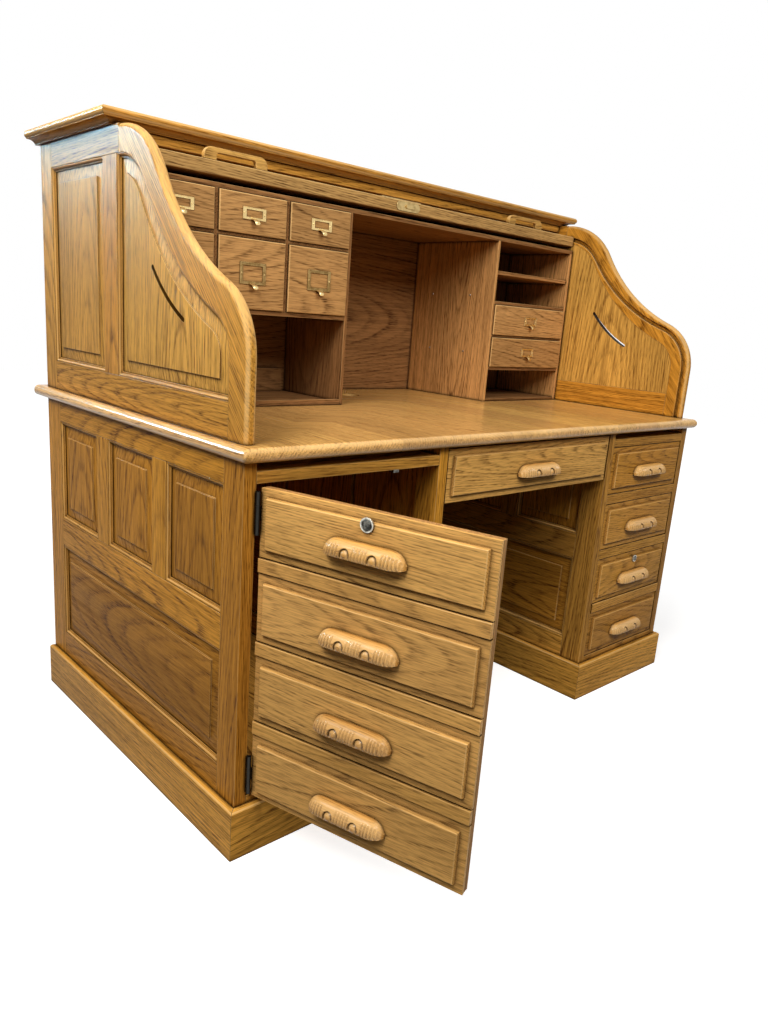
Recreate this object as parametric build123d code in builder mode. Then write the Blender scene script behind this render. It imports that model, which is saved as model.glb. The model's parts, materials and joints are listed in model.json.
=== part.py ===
"""Double pedestal S-curve roll top desk in oak, every board a separate piece.

Millimetres. X runs to the right, Y to the back and Z up. The desk stands on Z = 0.
Inside this file Y is counted from the front of the base mouldings; each piece is moved
by frame_y when it is saved, so that the shared origin lies under the middle of the desk
with its cabinet door standing open.
"""
import os
from math import atan2, cos, hypot, pi, radians, sin, sqrt

from build123d import *

os.makedirs("parts", exist_ok=True)

# Overall sizes of the lower case
desk_w = 1526.0
desktop_top = 762.0
desktop_t = 25.0
desktop_overhang_front = 22.0
desktop_rear = 927.0
bullnose_r = 12.0
desktop_corner_r = 4.0
cord_hole_r = 27.0
cord_hole_x = 4.0
cord_hole_y = 649.0
base_h = 100.0
base_t = 14.0
base_ease = 5.0
case_rear = 876.0
side_t = 25.0
left_case_w = 487.0
right_case_w = 405.0
glue = 0.1

# Frame-and-panel sides
front_stile_w = 61.0
rear_stile_w = 75.0
mullion_w = 55.0
bottom_rail_top = 160.0
mid_rail_bottom = 387.0
mid_rail_top = 455.0
top_rail_h = 47.0
sticking_w = 9.0
sticking_t = 8.0
sticking_ledge = 3.0
sticking_bead_w = 5.5
sticking_round = 4.0
sticking_setback = 1.0
panel_t = 8.0
panel_slope = 3.5
panel_shoulder = 3.0
panel_bevel = 34.0

# Front rails, slots and drawer openings
slot_h = 17.0
slot_rail_h = 21.0
rail_d = 60.0
front_rail_h = 25.4
lowest_rail_top = 115.0
kick_t = 20.0
dust_board_t = 10.0
back_t = 8.0
floor_t = 16.0

# Panelled back of the kneehole
modesty_foot = 130.0
modesty_inset = 12.0
modesty_t = 20.0
modesty_stile_w = 60.0
modesty_bottom_rail_h = 70.0
modesty_top_rail_h = 60.0
modesty_panel_t = 8.0

# Drawer fronts, boxes and runners
front_gap = 2.0
front_plate_t = 6.0
front_rise = 8.0
front_border = 14.0
front_slope = 2.0
front_ease = 2.0
front_setback = 2.0
sub_front_t = 14.0
drawer_side_t = 12.0
drawer_side_gap = 3.0
drawer_head_room = 14.0
drawer_bottom_t = 6.0
bottom_lift = 4.0
drawer_depth = 600.0
runner_w = 20.0
runner_t = 15.0
slide_gap = 0.5
centre_drawer_h = 114.0
centre_drawer_depth = 560.0
centre_top_gap = 7.0
centre_side_gap = 4.0
centre_box_gap = 2.0
centre_head_room = 6.0
centre_runner_t = 20.0
centre_runner_lift = 26.0
centre_runner_start = 40.0
strip_proud = 2.0

# Carved pulls
pull_len = 150.0
pull_h = 28.0
pull_d = 27.0
pull_drop = 3.0
gouge_x = 25.0
gouge_r = 9.0
gouge_w = 2.4

# Round cam locks
door_lock_drop = 24.5
file_lock_drop = 20.0
door_lock_r = 12.0
file_lock_r = 9.5
lock_flange_t = 3.5
lock_plug_share = 0.68
lock_plug_t = 1.5
key_slot_w = 1.6
key_slot_h = 7.0
key_slot_d = 1.2

# Cabinet door and its butt hinges
door_open = 74.0
door_t = 13.0
door_gap = 3.0
door_head_gap = 5.5
strip_t = 10.0
hinge_leaf_t = 1.3
hinge_leaf_w = 20.0
hinge_len = 75.0
knuckle_r = 4.0
pin_r = 2.0
pin_fit = 0.05
pin_forward = 4.5
hinge_from_end = 6.0
hinge_play = 0.4
hinge_root_gap = 6.0

# Spring catch under the slot rail
catch_from_post = 95.0
catch_plate_w = 32.0
catch_plate_d = 16.0
catch_plate_t = 3.0
catch_w = 14.0
catch_d = 12.0
catch_h = 9.0
catch_gap = 2.0

# Upper case with S-curved ends
hutch_inset = 22.0
hutch_t = 22.0
hutch_rear = 899.0
hutch_back_t = 12.0
belly_y = 160.0
belly_z = 897.0
belly_r = 134.5
hollow_r = 470.0
crown_y = 493.0
crown_z = 1114.0
crown_r = 186.0
s_stile_foot_w = 54.5
s_stile_top_w = 52.0
s_stile_mid_w = 58.0
hutch_bottom_rail_h = 65.0
hutch_mullion_y = 502.0
hutch_mullion_w = 64.0
hutch_rear_stile_w = 62.0
s_panel_recess = 0.8
side_slot_w = 8.0
side_slot_way = ((357.0, 1040.0), (303.0, 989.0), (240.0, 951.0))

# Tambour and its groove
groove_foot = 17.0
groove_top = 40.0
groove_w = 12.0
groove_d = 10.0
bend_r = 96.0
groove_rear = 868.0
slat_pitch = 24.0
slat_w = 22.4
slat_t = 11.0
slat_ease = 4.0
slat_end_gap = 0.3
tongue_t = 6.0
tongue_l = 8.0
tongue_shoulder = 1.5
lead_w = 56.0
lead_t = 28.0
lead_relief = 1.6
lead_ease = 2.5
lead_end_gap = 0.5
lead_shoulder = 4.0
tail_foot = 40.0
loose_slats = 3
run_slats = 7
tail_slats = 17

# Lift handles and lock of the lead rail
handle_w = 153.0
handle_h = 25.0
handle_t = 11.0
handle_set = 14.0
handle_x = (-496.0, 479.0)
handle_hole_w = 95.0
handle_hole_h = 15.5
handle_hole_ease = 6.0
lock_w = 80.0
lock_h = 22.0
lock_t = 1.5
lock_below = 2.0
bolt_x = 7.0
bolt_w = 34.0
bolt_h = 9.0
bolt_t = 3.4
strike_x = -21.0
strike_w = 134.0
strike_d = 14.0
strike_t = 2.2

# Top of the upper case
deck_t = 27.0
deck_front = 525.0
deck_rear = 917.0
crown_out = 29.0
fascia_t = 18.0
fascia_h = 19.0

# Organiser on the desktop
org_front = 462.0
org_end_clear = 2.0
org_top = 1224.0
org_top_t = 10.0
org_end_t = 10.0
org_part_t = 9.0
org_floor_t = 8.0
org_sill_h = 14.0
org_sill_t = 12.0
org_back = 700.0
org_centre_back = 785.0
org_back_t = 6.0
org_left_x = -188.0
org_right_x = 369.0
column_x = (-551.0, -370.5)
row_split = 1124.0
row_board_t = 7.0
left_shelf_top = 976.0
left_shelf_t = 10.0
right_drawers_top = 1041.0
right_drawer_h = 86.0
right_board_t = 9.0
right_divider_t = 6.0
adjust_shelf_z = 1124.0
adjust_shelf_t = 10.0
adjust_shelf_gap = 1.0
adjust_shelf_set = 4.0
shelf_pin_r = 2.9
shelf_pin_l = 9.0
shelf_pin_inset = 40.0
block_x1 = -208.0
block_w = 100.0
block_t = 12.0
block_h = 60.0
block_r = 10.0
small_gap = 1.0
small_front_t = 12.0
small_proud = 5.0
small_front_ease = 3.0
small_side_t = 6.0
small_bottom_t = 3.0
small_head_room = 4.0
small_depth = 200.0
card_w = 58.0
card_h = 25.0
tall_card_w = 66.0
tall_card_h = 46.0
card_t = 2.0
hook_w = 16.0
hook_d = 16.0
hook_t = 3.0
hook_drop = 9.0
hook_knee = 5.0

# Positions that follow from the sizes above
half_w = desk_w / 2
case_face = base_t
case_half_w = half_w - base_t
carcass_top = desktop_top - desktop_t
desktop_front = case_face - desktop_overhang_front
left_x0 = -case_half_w
left_x1 = left_x0 + left_case_w
right_x1 = case_half_w
right_x0 = right_x1 - right_case_w
slot_floor = carcass_top - slot_h
opening_top = slot_floor - slot_rail_h
opening_h = (opening_top - lowest_rail_top - 3 * front_rail_h) / 4
opening_pitch = opening_h + front_rail_h
hinge_x = left_x0 + side_t + door_gap / 2
hinge_y = case_face - pin_forward
door_x0 = left_x0 + side_t + door_gap
door_x1 = left_x1 - side_t - door_gap
door_face = case_face + front_setback
door_back_y = door_face + front_plate_t + door_t
front_reach = hinge_y - (door_x1 - hinge_x) * sin(radians(door_open))
frame_y = -(desktop_rear + front_reach) / 2
hutch_half_w = half_w - hutch_inset
hutch_in = hutch_half_w - hutch_t
hutch_top = crown_z + crown_r
groove_belly_r = belly_r - groove_foot
groove_crown_r = crown_r - groove_top
groove_hollow_r = hollow_r + (groove_foot + groove_top) / 2
groove_z = crown_z + groove_crown_r
bend_y = groove_rear - bend_r
bend_z = groove_z - bend_r


def save(name, pieces):
    """Write one named sub-part, a group of separate solids, in the shared frame."""
    solids = []
    for piece in pieces:
        solids.extend((Pos(0, frame_y, 0) * piece).solids())
    node = solids[0] if len(solids) == 1 else Compound(children=solids)
    node.label = name
    export_step(node, "parts/" + name + ".step")


def board(x0, x1, y0, y1, z0, z1):
    """One straight board between two opposite corners."""
    with BuildPart() as piece:
        with Locations(((x0 + x1) / 2, (y0 + y1) / 2, (z0 + z1) / 2)):
            Box(x1 - x0, y1 - y0, z1 - z0)
    return piece.part


def eased_board(x0, x1, y0, y1, z0, z1, axis, radius):
    """A board with its four long edges along one axis rounded."""
    with BuildPart() as piece:
        with Locations(((x0 + x1) / 2, (y0 + y1) / 2, (z0 + z1) / 2)):
            Box(x1 - x0, y1 - y0, z1 - z0)
        fillet(piece.edges().filter_by(axis), radius=radius)
    return piece.part


def face_plane(x, y, z, out):
    """A plane on a side of the desk that looks out along plus or minus X."""
    return Plane(origin=(x, y, z), x_dir=(0, 1, 0), z_dir=(out, 0, 0))


def side_panel(x_face, out, y0, y1, z0, z1):
    """A raised panel held behind the sticking of a side frame."""
    w = y1 - y0
    h = z1 - z0
    seat = x_face - out * (sticking_setback + sticking_t)
    back = face_plane(seat - out * panel_t, (y0 + y1) / 2, (z0 + z1) / 2, out)
    lip = 2 * (sticking_w + 1)
    with BuildPart() as piece:
        with BuildSketch(back):
            Rectangle(w, h)
        extrude(amount=panel_t)
        with BuildSketch(back.offset(panel_t)):
            Rectangle(w - lip, h - lip)
        with BuildSketch(back.offset(panel_t + panel_slope)):
            Rectangle(w - 2 * panel_bevel, h - 2 * panel_bevel)
        loft()
        with BuildSketch(back.offset(panel_t + panel_slope)):
            Rectangle(w - 2 * panel_bevel, h - 2 * panel_bevel)
        extrude(amount=panel_shoulder)
    return piece.part


def sticking(x_face, out, y0, y1, z0, z1):
    """The moulded edge that runs round one opening of a side frame."""
    w = y1 - y0 - 2 * glue
    h = z1 - z0 - 2 * glue
    seat = x_face - out * (sticking_setback + sticking_t)
    with BuildPart() as piece:
        for step_w, step_t in ((sticking_w, sticking_ledge), (sticking_bead_w, sticking_t)):
            with BuildSketch(face_plane(seat, (y0 + y1) / 2, (z0 + z1) / 2, out)):
                Rectangle(w, h)
                Rectangle(w - 2 * step_w, h - 2 * step_w, mode=Mode.SUBTRACT)
            extrude(amount=step_t)
        outer = piece.faces().sort_by(Axis.X)[-1 if out > 0 else 0]
        fillet(outer.inner_wires()[0].edges(), radius=sticking_round)
    return piece.part


def side_openings():
    """The openings of one pedestal side: three upright ones over a wide one."""
    y0 = case_face + front_stile_w
    y1 = case_rear - rear_stile_w
    w = (y1 - y0 - 2 * mullion_w) / 3
    found = []
    for i in range(3):
        a = y0 + i * (w + mullion_w)
        found.append((a, a + w, mid_rail_top, carcass_top - top_rail_h))
    found.append((y0, y1, bottom_rail_top, mid_rail_bottom))
    return found


def side_frame(x0, out):
    """Stiles, rails, mullions and sticking of one pedestal side."""
    x1 = x0 + side_t
    y0 = case_face + front_stile_w
    y1 = case_rear - rear_stile_w
    face = x1 if out > 0 else x0
    pieces = [
        board(x0, x1, case_face, y0 - glue, 0, carcass_top),
        board(x0, x1, y1 + glue, case_rear, 0, carcass_top),
        board(x0, x1, y0, y1, 0, bottom_rail_top),
        board(x0, x1, y0, y1, mid_rail_bottom, mid_rail_top),
        board(x0, x1, y0, y1, carcass_top - top_rail_h, carcass_top),
    ]
    openings = side_openings()
    for i in range(2):
        a = openings[i][1]
        b = openings[i + 1][0]
        pieces.append(board(x0, x1, a, b, mid_rail_top + glue, carcass_top - top_rail_h - glue))
    for opening in openings:
        pieces.append(sticking(face, out, *opening))
    return pieces


def side_panels(x0, out):
    """The four raised panels of one pedestal side."""
    face = x0 + side_t if out > 0 else x0
    return [side_panel(face, out, *opening) for opening in side_openings()]


# Base mouldings, mitred at the front corners
def base_board(points, axis, along, pick):
    """One length of base moulding from its plan, its upper outside edge rounded."""
    with BuildPart() as piece:
        with BuildSketch():
            Polygon(*points, align=None)
        extrude(amount=base_h)
        top = piece.edges().filter_by(axis).group_by(Axis.Z)[-1]
        fillet(top.sort_by(along)[pick], radius=base_ease)
    return piece.part


def base_moulding(x0, x1):
    """Front and both sides of one pedestal's base moulding."""
    t = base_t
    g = glue
    front = [(x0 + g, 0), (x1 - g, 0), (x1 - t - g, t), (x0 + t + g, t)]
    left = [(x0, g), (x0 + t, t + g), (x0 + t, case_rear), (x0, case_rear)]
    right = [(x1, g), (x1, case_rear), (x1 - t, case_rear), (x1 - t, t + g)]
    return [
        base_board(front, Axis.X, Axis.Y, 0),
        base_board(left, Axis.Y, Axis.X, 0),
        base_board(right, Axis.Y, Axis.X, -1),
    ]


left_base = base_moulding(left_x0 - base_t, left_x1 + base_t)
right_base = base_moulding(right_x0 - base_t, right_x1 + base_t)
save("plinths", left_base + right_base)

# Pedestal sides
save("left_pedestal_frames", side_frame(left_x0, -1) + side_frame(left_x1 - side_t, 1))
save("right_pedestal_frames", side_frame(right_x0, -1) + side_frame(right_x1 - side_t, 1))
left_panels = side_panels(left_x0, -1) + side_panels(left_x1 - side_t, 1)
right_panels = side_panels(right_x0, -1) + side_panels(right_x1 - side_t, 1)
save("pedestal_panels", left_panels + right_panels)


# Insides of the pedestals: backs, floors, front rails and the floors of the board slots
def case_boards(x0, x1):
    """Boards that every pedestal has between its two sides."""
    back = case_rear - back_t
    return [
        board(x0, x1, back, case_rear, 0, carcass_top),
        board(x0, x1, case_face, case_face + kick_t, 0, lowest_rail_top),
        board(x0, x1, case_face + kick_t + glue, back - glue, base_h - floor_t, base_h),
        board(x0, x1, case_face, case_face + rail_d, opening_top, slot_floor),
        board(x0, x1, case_face + rail_d + glue, back - glue, slot_floor - dust_board_t, slot_floor),
    ]


left_in0 = left_x0 + side_t
left_in1 = left_x1 - side_t
right_in0 = right_x0 + side_t
right_in1 = right_x1 - side_t
save("left_pedestal_case", case_boards(left_in0, left_in1))
right_case = case_boards(right_in0, right_in1)
for i in (2, 3):
    rail_z = lowest_rail_top + i * opening_pitch - front_rail_h
    rail_y1 = case_face + rail_d
    right_case.append(board(right_in0, right_in1, case_face, rail_y1, rail_z, rail_z + front_rail_h))
save("right_pedestal_case", right_case)

# Runners that the drawers slide on
runner_rear = case_rear - back_t
centre_top = carcass_top - centre_top_gap
centre_bottom = centre_top - centre_drawer_h
centre_runner_top = centre_bottom + centre_runner_lift
runners = []
for z in (lowest_rail_top, lowest_rail_top + 2 * opening_pitch, lowest_rail_top + 3 * opening_pitch):
    y0 = case_face + (rail_d if z > lowest_rail_top else kick_t)
    runners.append(board(right_in0, right_in0 + runner_w, y0, runner_rear, z - runner_t, z))
    runners.append(board(right_in1 - runner_w, right_in1, y0, runner_rear, z - runner_t, z))
centre_runner_y0 = case_face + centre_runner_start
centre_runner_y1 = centre_runner_y0 + drawer_depth
centre_runner_z0 = centre_runner_top - centre_runner_t
for a in (left_x1, right_x0 - runner_w):
    b = a + runner_w
    runners.append(board(a, b, centre_runner_y0, centre_runner_y1, centre_runner_z0, centre_runner_top))
save("drawer_runners", runners)

# Panelled back of the kneehole
modesty_y1 = case_rear - modesty_inset
modesty_y0 = modesty_y1 - modesty_t
modesty_xa = left_x1 + modesty_stile_w
modesty_xb = right_x0 - modesty_stile_w
modesty_za = modesty_foot + modesty_bottom_rail_h
modesty_zb = carcass_top - modesty_top_rail_h
modesty_ya = (modesty_y0 + modesty_y1 - modesty_panel_t) / 2
modesty_yb = modesty_ya + modesty_panel_t
modesty = [
    board(left_x1, modesty_xa, modesty_y0, modesty_y1, modesty_foot, carcass_top),
    board(modesty_xb, right_x0, modesty_y0, modesty_y1, modesty_foot, carcass_top),
    board(modesty_xa + glue, modesty_xb - glue, modesty_y0, modesty_y1, modesty_foot, modesty_za),
    board(modesty_xa + glue, modesty_xb - glue, modesty_y0, modesty_y1, modesty_zb, carcass_top),
    board(modesty_xa + glue, modesty_xb - glue, modesty_ya, modesty_yb, modesty_za + glue, modesty_zb - glue),
]
save("modesty_panel", modesty)

# Desktop with a round front and round ends, and the cord hole
with BuildPart() as desktop:
    with Locations((0, (desktop_front + desktop_rear) / 2, desktop_top - desktop_t / 2)):
        Box(desk_w, desktop_rear - desktop_front, desktop_t)
    upright = desktop.edges().filter_by(Axis.Z).group_by(Axis.Y)[0]
    fillet(upright, radius=desktop_corner_r)
    rims = desktop.faces().filter_by(Axis.Z)
    nosing = []
    for rim in rims:
        nosing.extend(e for e in rim.edges() if e.center().Y < desktop_rear - 1)
    fillet(nosing, radius=bullnose_r)
    with Locations((cord_hole_x, cord_hole_y, desktop_top - desktop_t / 2)):
        Cylinder(cord_hole_r, desktop_t + 2, mode=Mode.SUBTRACT)
save("desktop", [desktop.part])


# S-curve of the upper case
def s_curve(foot_r, mid_r, top_r):
    """Joining points and arc middles of one S-curve drawn round the two fixed centres."""
    d1 = mid_r + foot_r
    d2 = mid_r + top_r
    dy = crown_y - belly_y
    dz = crown_z - belly_z
    d = hypot(dy, dz)
    a = (d1 * d1 - d2 * d2 + d * d) / (2 * d)
    h = sqrt(d1 * d1 - a * a)
    hy = belly_y + a * dy / d - h * dz / d
    hz = belly_z + a * dz / d + h * dy / d
    p1 = (belly_y + (hy - belly_y) * foot_r / d1, belly_z + (hz - belly_z) * foot_r / d1)
    p2 = (crown_y + (hy - crown_y) * top_r / d2, crown_z + (hz - crown_z) * top_r / d2)
    a1 = (pi + atan2(p1[1] - belly_z, p1[0] - belly_y)) / 2
    m1 = (belly_y + foot_r * cos(a1), belly_z + foot_r * sin(a1))
    a2 = (atan2(p1[1] - hz, p1[0] - hy) + atan2(p2[1] - hz, p2[0] - hy)) / 2
    m2 = (hy + mid_r * cos(a2), hz + mid_r * sin(a2))
    a3 = (pi / 2 + atan2(p2[1] - crown_z, p2[0] - crown_y)) / 2
    m3 = (crown_y + top_r * cos(a3), crown_z + top_r * sin(a3))
    return (belly_y - foot_r, belly_z), m1, p1, m2, p2, m3, (crown_y, crown_z + top_r)


def s_arcs(foot_r, mid_r, top_r):
    """Draw the three arcs of an S-curve in the current line, foot first."""
    s = s_curve(foot_r, mid_r, top_r)
    ThreePointArc(s[0], s[1], s[2])
    ThreePointArc(s[2], s[3], s[4])
    ThreePointArc(s[4], s[5], s[6])
    return s


def groove_cutter(x_in, out):
    """The tambour groove in the inner face of one end, from foot to tail."""
    e = groove_w / 2
    depth = groove_d * out
    foot = desktop_top - 1
    tail = desktop_top + tail_foot
    with BuildPart() as piece:
        with BuildSketch(Plane.YZ.offset(x_in)):
            with BuildLine():
                a = s_arcs(groove_belly_r + e, groove_hollow_r - e, groove_crown_r + e)
                b = s_arcs(groove_belly_r - e, groove_hollow_r + e, groove_crown_r - e)
                Polyline(a[0], (a[0][0], foot), (b[0][0], foot), b[0])
                Line(a[6], (bend_y, groove_z + e))
                Line(b[6], (bend_y, groove_z - e))
                c = cos(pi / 4)
                ro = bend_r + e
                ri = bend_r - e
                ThreePointArc(
                    (bend_y, bend_z + ro), (bend_y + ro * c, bend_z + ro * c), (bend_y + ro, bend_z)
                )
                ThreePointArc(
                    (bend_y, bend_z + ri), (bend_y + ri * c, bend_z + ri * c), (bend_y + ri, bend_z)
                )
                Polyline((bend_y + ro, bend_z), (bend_y + ro, tail), (bend_y + ri, tail))
                Line((bend_y + ri, tail), (bend_y + ri, bend_z))
            make_face()
        extrude(amount=depth)
    return piece.part


inner_belly_r = belly_r - s_stile_foot_w
inner_crown_r = crown_r - s_stile_top_w
inner_hollow_r = hollow_r + s_stile_mid_w
rail_z1 = desktop_top + hutch_bottom_rail_h
top_rail_z0 = hutch_top - s_stile_top_w
rear_stile_y = hutch_rear - hutch_rear_stile_w
mullion_y1 = hutch_mullion_y + hutch_mullion_w


def grooved(piece, cutter):
    """Cut the tambour groove into one board."""
    with BuildPart() as result:
        add(piece)
        add(cutter, mode=Mode.SUBTRACT)
    return result.part


def s_stile(x0):
    """The S-shaped front stile of one end, its front edge rounded."""
    with BuildPart() as piece:
        with BuildSketch(Plane.YZ.offset(x0)):
            with BuildLine():
                a = s_arcs(belly_r, hollow_r, crown_r)
                b = s_arcs(inner_belly_r, inner_hollow_r, inner_crown_r)
                Polyline(a[0], (a[0][0], desktop_top), (b[0][0], desktop_top), b[0])
                Line(a[6], b[6])
            make_face()
        extrude(amount=hutch_t)
        front = []
        for face in piece.faces().filter_by(Axis.X):
            for edge in face.edges():
                p = edge @ 0.5
                fore = p.Z < belly_z and abs(p.Y - a[0][0]) < 1
                on_belly = abs(hypot(p.Y - belly_y, p.Z - belly_z) - belly_r) < 1
                on_crown = abs(hypot(p.Y - crown_y, p.Z - crown_z) - crown_r) < 1
                on_hollow = abs(p.Y - a[3][0]) < 1 and abs(p.Z - a[3][1]) < 1
                if fore or on_belly or on_crown or on_hollow:
                    front.append(edge)
        fillet(front, radius=hutch_t * 0.44)
    return piece.part


def s_outline(edge):
    """Draw the S-shaped opening, held back from its edges, in the current line."""
    y1 = hutch_mullion_y - edge
    z0 = rail_z1 + edge
    r = inner_crown_r - edge
    s = s_curve(inner_belly_r - edge, inner_hollow_r + edge, r)
    end_y = min(crown_y, y1 - 5)
    end_z = crown_z + sqrt(r * r - (crown_y - end_y) ** 2)
    a = (atan2(s[4][1] - crown_z, s[4][0] - crown_y) + atan2(end_z - crown_z, end_y - crown_y)) / 2
    ThreePointArc(s[0], s[1], s[2])
    ThreePointArc(s[2], s[3], s[4])
    ThreePointArc(s[4], (crown_y + r * cos(a), crown_z + r * sin(a)), (end_y, end_z))
    Polyline((end_y, end_z), (y1, end_z), (y1, z0), (s[0][0], z0), s[0])


def s_sticking(x_face, out):
    """The moulded edge round the S-shaped opening."""
    seat = x_face - out * (sticking_setback + sticking_t)
    with BuildPart() as piece:
        for step_w, step_t in ((sticking_w, sticking_ledge), (sticking_bead_w, sticking_t)):
            with BuildSketch(Plane.YZ.offset(seat)):
                with BuildLine():
                    s_outline(glue)
                make_face()
                with BuildLine():
                    s_outline(step_w)
                make_face(mode=Mode.SUBTRACT)
            extrude(amount=out * step_t)
        outer = piece.faces().filter_by(Axis.X).sort_by(Axis.X)[-1 if out > 0 else 0]
        chamfer(outer.inner_wires()[0].edges(), length=0.7 * sticking_round)
    return piece.part


def s_panel(x_face, out):
    """The S-shaped raised panel with its curved slot."""
    seat = x_face - out * (sticking_setback + sticking_t)
    thick = hutch_t - sticking_setback - sticking_t - s_panel_recess
    with BuildPart() as piece:
        with BuildSketch(Plane.YZ.offset(seat)):
            with BuildLine():
                s_outline(0)
            make_face()
        extrude(amount=-out * thick)
        with BuildSketch(Plane.YZ.offset(seat)):
            with BuildLine():
                s_outline(sticking_w + 1)
            make_face()
        with BuildSketch(Plane.YZ.offset(seat + out * panel_slope)):
            with BuildLine():
                s_outline(panel_bevel)
            make_face()
        loft(ruled=True)
        with BuildSketch(Plane.YZ.offset(seat + out * panel_slope)):
            with BuildLine():
                s_outline(panel_bevel)
            make_face()
        extrude(amount=out * panel_shoulder)
        with BuildSketch(Plane.YZ.offset(x_face + out)):
            SlotArc(Edge.make_three_point_arc(*side_slot_way), side_slot_w)
        extrude(amount=-out * 2 * hutch_t, mode=Mode.SUBTRACT)
    return piece.part


def hutch_frame(x0, out):
    """Stile, rails and mullion of one S-curved end; out is the outer side."""
    x1 = x0 + hutch_t
    inner = x0 if out > 0 else x1
    face = x1 if out > 0 else x0
    cutter = groove_cutter(inner, out)
    foot_y = belly_y - inner_belly_r + glue
    mid_y0 = hutch_mullion_y
    return [
        grooved(s_stile(x0), cutter),
        grooved(board(x0, x1, crown_y + glue, rear_stile_y - glue, top_rail_z0, hutch_top), cutter),
        grooved(board(x0, x1, rear_stile_y, hutch_rear, desktop_top, hutch_top), cutter),
        board(x0, x1, foot_y, rear_stile_y - glue, desktop_top, rail_z1),
        board(x0, x1, mid_y0, mullion_y1, rail_z1 + glue, top_rail_z0 - glue),
        s_sticking(face, out),
        sticking(face, out, mullion_y1, rear_stile_y, rail_z1, top_rail_z0),
    ]


def hutch_panels(x0, out):
    """The rear panel, crossed by the groove at one corner, and the S-shaped panel of one end."""
    face = x0 + hutch_t if out > 0 else x0
    cutter = groove_cutter(x0 if out > 0 else x0 + hutch_t, out)
    rear = side_panel(face, out, mullion_y1, rear_stile_y, rail_z1, top_rail_z0)
    return [grooved(rear, cutter), s_panel(face, out)]


save("left_hutch_frame", hutch_frame(-hutch_half_w, -1))
save("right_hutch_frame", hutch_frame(hutch_in, 1))
save("hutch_panels", hutch_panels(-hutch_half_w, -1) + hutch_panels(hutch_in, 1))

# Back, deck, fascia and crown moulding of the upper case
back_y0 = hutch_rear - hutch_back_t
save("hutch_back", [board(-hutch_in, hutch_in, back_y0, hutch_rear, desktop_top, hutch_top)])
save("hutch_deck", [board(-hutch_half_w, hutch_half_w, deck_front, deck_rear, hutch_top, hutch_top + deck_t)])
fascia_y1 = deck_front + fascia_t
save("fascia_rail", [board(-hutch_in, hutch_in, deck_front, fascia_y1, hutch_top - fascia_h, hutch_top)])


def crown_length(plane, length, mask):
    """One length of crown moulding, a cove under a rounded nose, mitred to the given plan."""
    w = crown_out
    h = deck_t
    with BuildPart() as piece:
        with BuildSketch(plane):
            with BuildLine():
                Polyline((0, h), (0, 0), (0.2 * w, 0), (0.2 * w, 0.1 * h))
                ThreePointArc((0.2 * w, 0.1 * h), (0.42 * w, 0.3 * h), (0.76 * w, 0.37 * h))
                Polyline((0.76 * w, 0.37 * h), (0.86 * w, 0.37 * h), (0.86 * w, 0.44 * h))
                ThreePointArc((0.86 * w, 0.44 * h), (w, 0.68 * h), (0.93 * w, 0.92 * h))
                ThreePointArc((0.93 * w, 0.92 * h), (0.89 * w, 0.98 * h), (0.82 * w, h))
                Line((0.82 * w, h), (0, h))
            make_face()
        extrude(amount=length)
        with BuildSketch(Plane.XY.offset(hutch_top - 1)):
            Polygon(*mask, align=None)
        extrude(amount=deck_t + 2, mode=Mode.INTERSECT)
    return piece.part


cx = hutch_half_w
co = hutch_half_w + crown_out
cf = deck_front - crown_out
g = glue
front_plane = Plane(origin=(co + 5, deck_front, hutch_top), x_dir=(0, -1, 0), z_dir=(-1, 0, 0))
left_plane = Plane(origin=(-cx, cf - 5, hutch_top), x_dir=(-1, 0, 0), z_dir=(0, 1, 0))
right_plane = Plane(origin=(cx, deck_rear, hutch_top), x_dir=(1, 0, 0), z_dir=(0, -1, 0))
side_run = deck_rear - cf + 5
front_mask = [(-co + g, cf), (co - g, cf), (cx - g, deck_front), (-cx + g, deck_front)]
left_mask = [(-co, cf + g), (-cx, deck_front + g), (-cx, deck_rear), (-co, deck_rear)]
right_mask = [(co, cf + g), (co, deck_rear), (cx, deck_rear), (cx, deck_front + g)]
crown = [
    crown_length(front_plane, 2 * co + 10, front_mask),
    crown_length(left_plane, side_run, left_mask),
    crown_length(right_plane, side_run, right_mask),
]
save("crown_moulding", crown)


# Tambour: lead rail, loose slats, run of slats under the deck and the hanging tail
def slat(y, z, angle):
    """One tambour slat at a point of the groove, turned to lie along it."""
    with BuildPart() as piece:
        Box(2 * (hutch_in - slat_end_gap), slat_w, slat_t)
        fillet(piece.edges().filter_by(Axis.X).group_by(Axis.Z)[-1], radius=slat_ease)
        Box(2 * (hutch_in + tongue_l), slat_w - 2 * tongue_shoulder, tongue_t)
    return Pos(0, y, z) * Rot(angle, 0, 0) * piece.part


lead_y0 = crown_y - lead_w / 2
lead_y1 = crown_y + lead_w / 2
lead_top = groove_z + slat_t / 2
with BuildPart() as lead_rail:
    with Locations((0, crown_y - lead_relief / 2, lead_top - lead_t / 2)):
        Box(2 * (hutch_in - lead_end_gap), lead_w - lead_relief, lead_t)
    fillet(lead_rail.edges().filter_by(Axis.X), radius=lead_ease)
    with Locations((0, crown_y, groove_z)):
        Box(2 * (hutch_in + tongue_l), lead_w - 2 * lead_shoulder, tongue_t)
save("lead_rail", [lead_rail.part])

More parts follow.
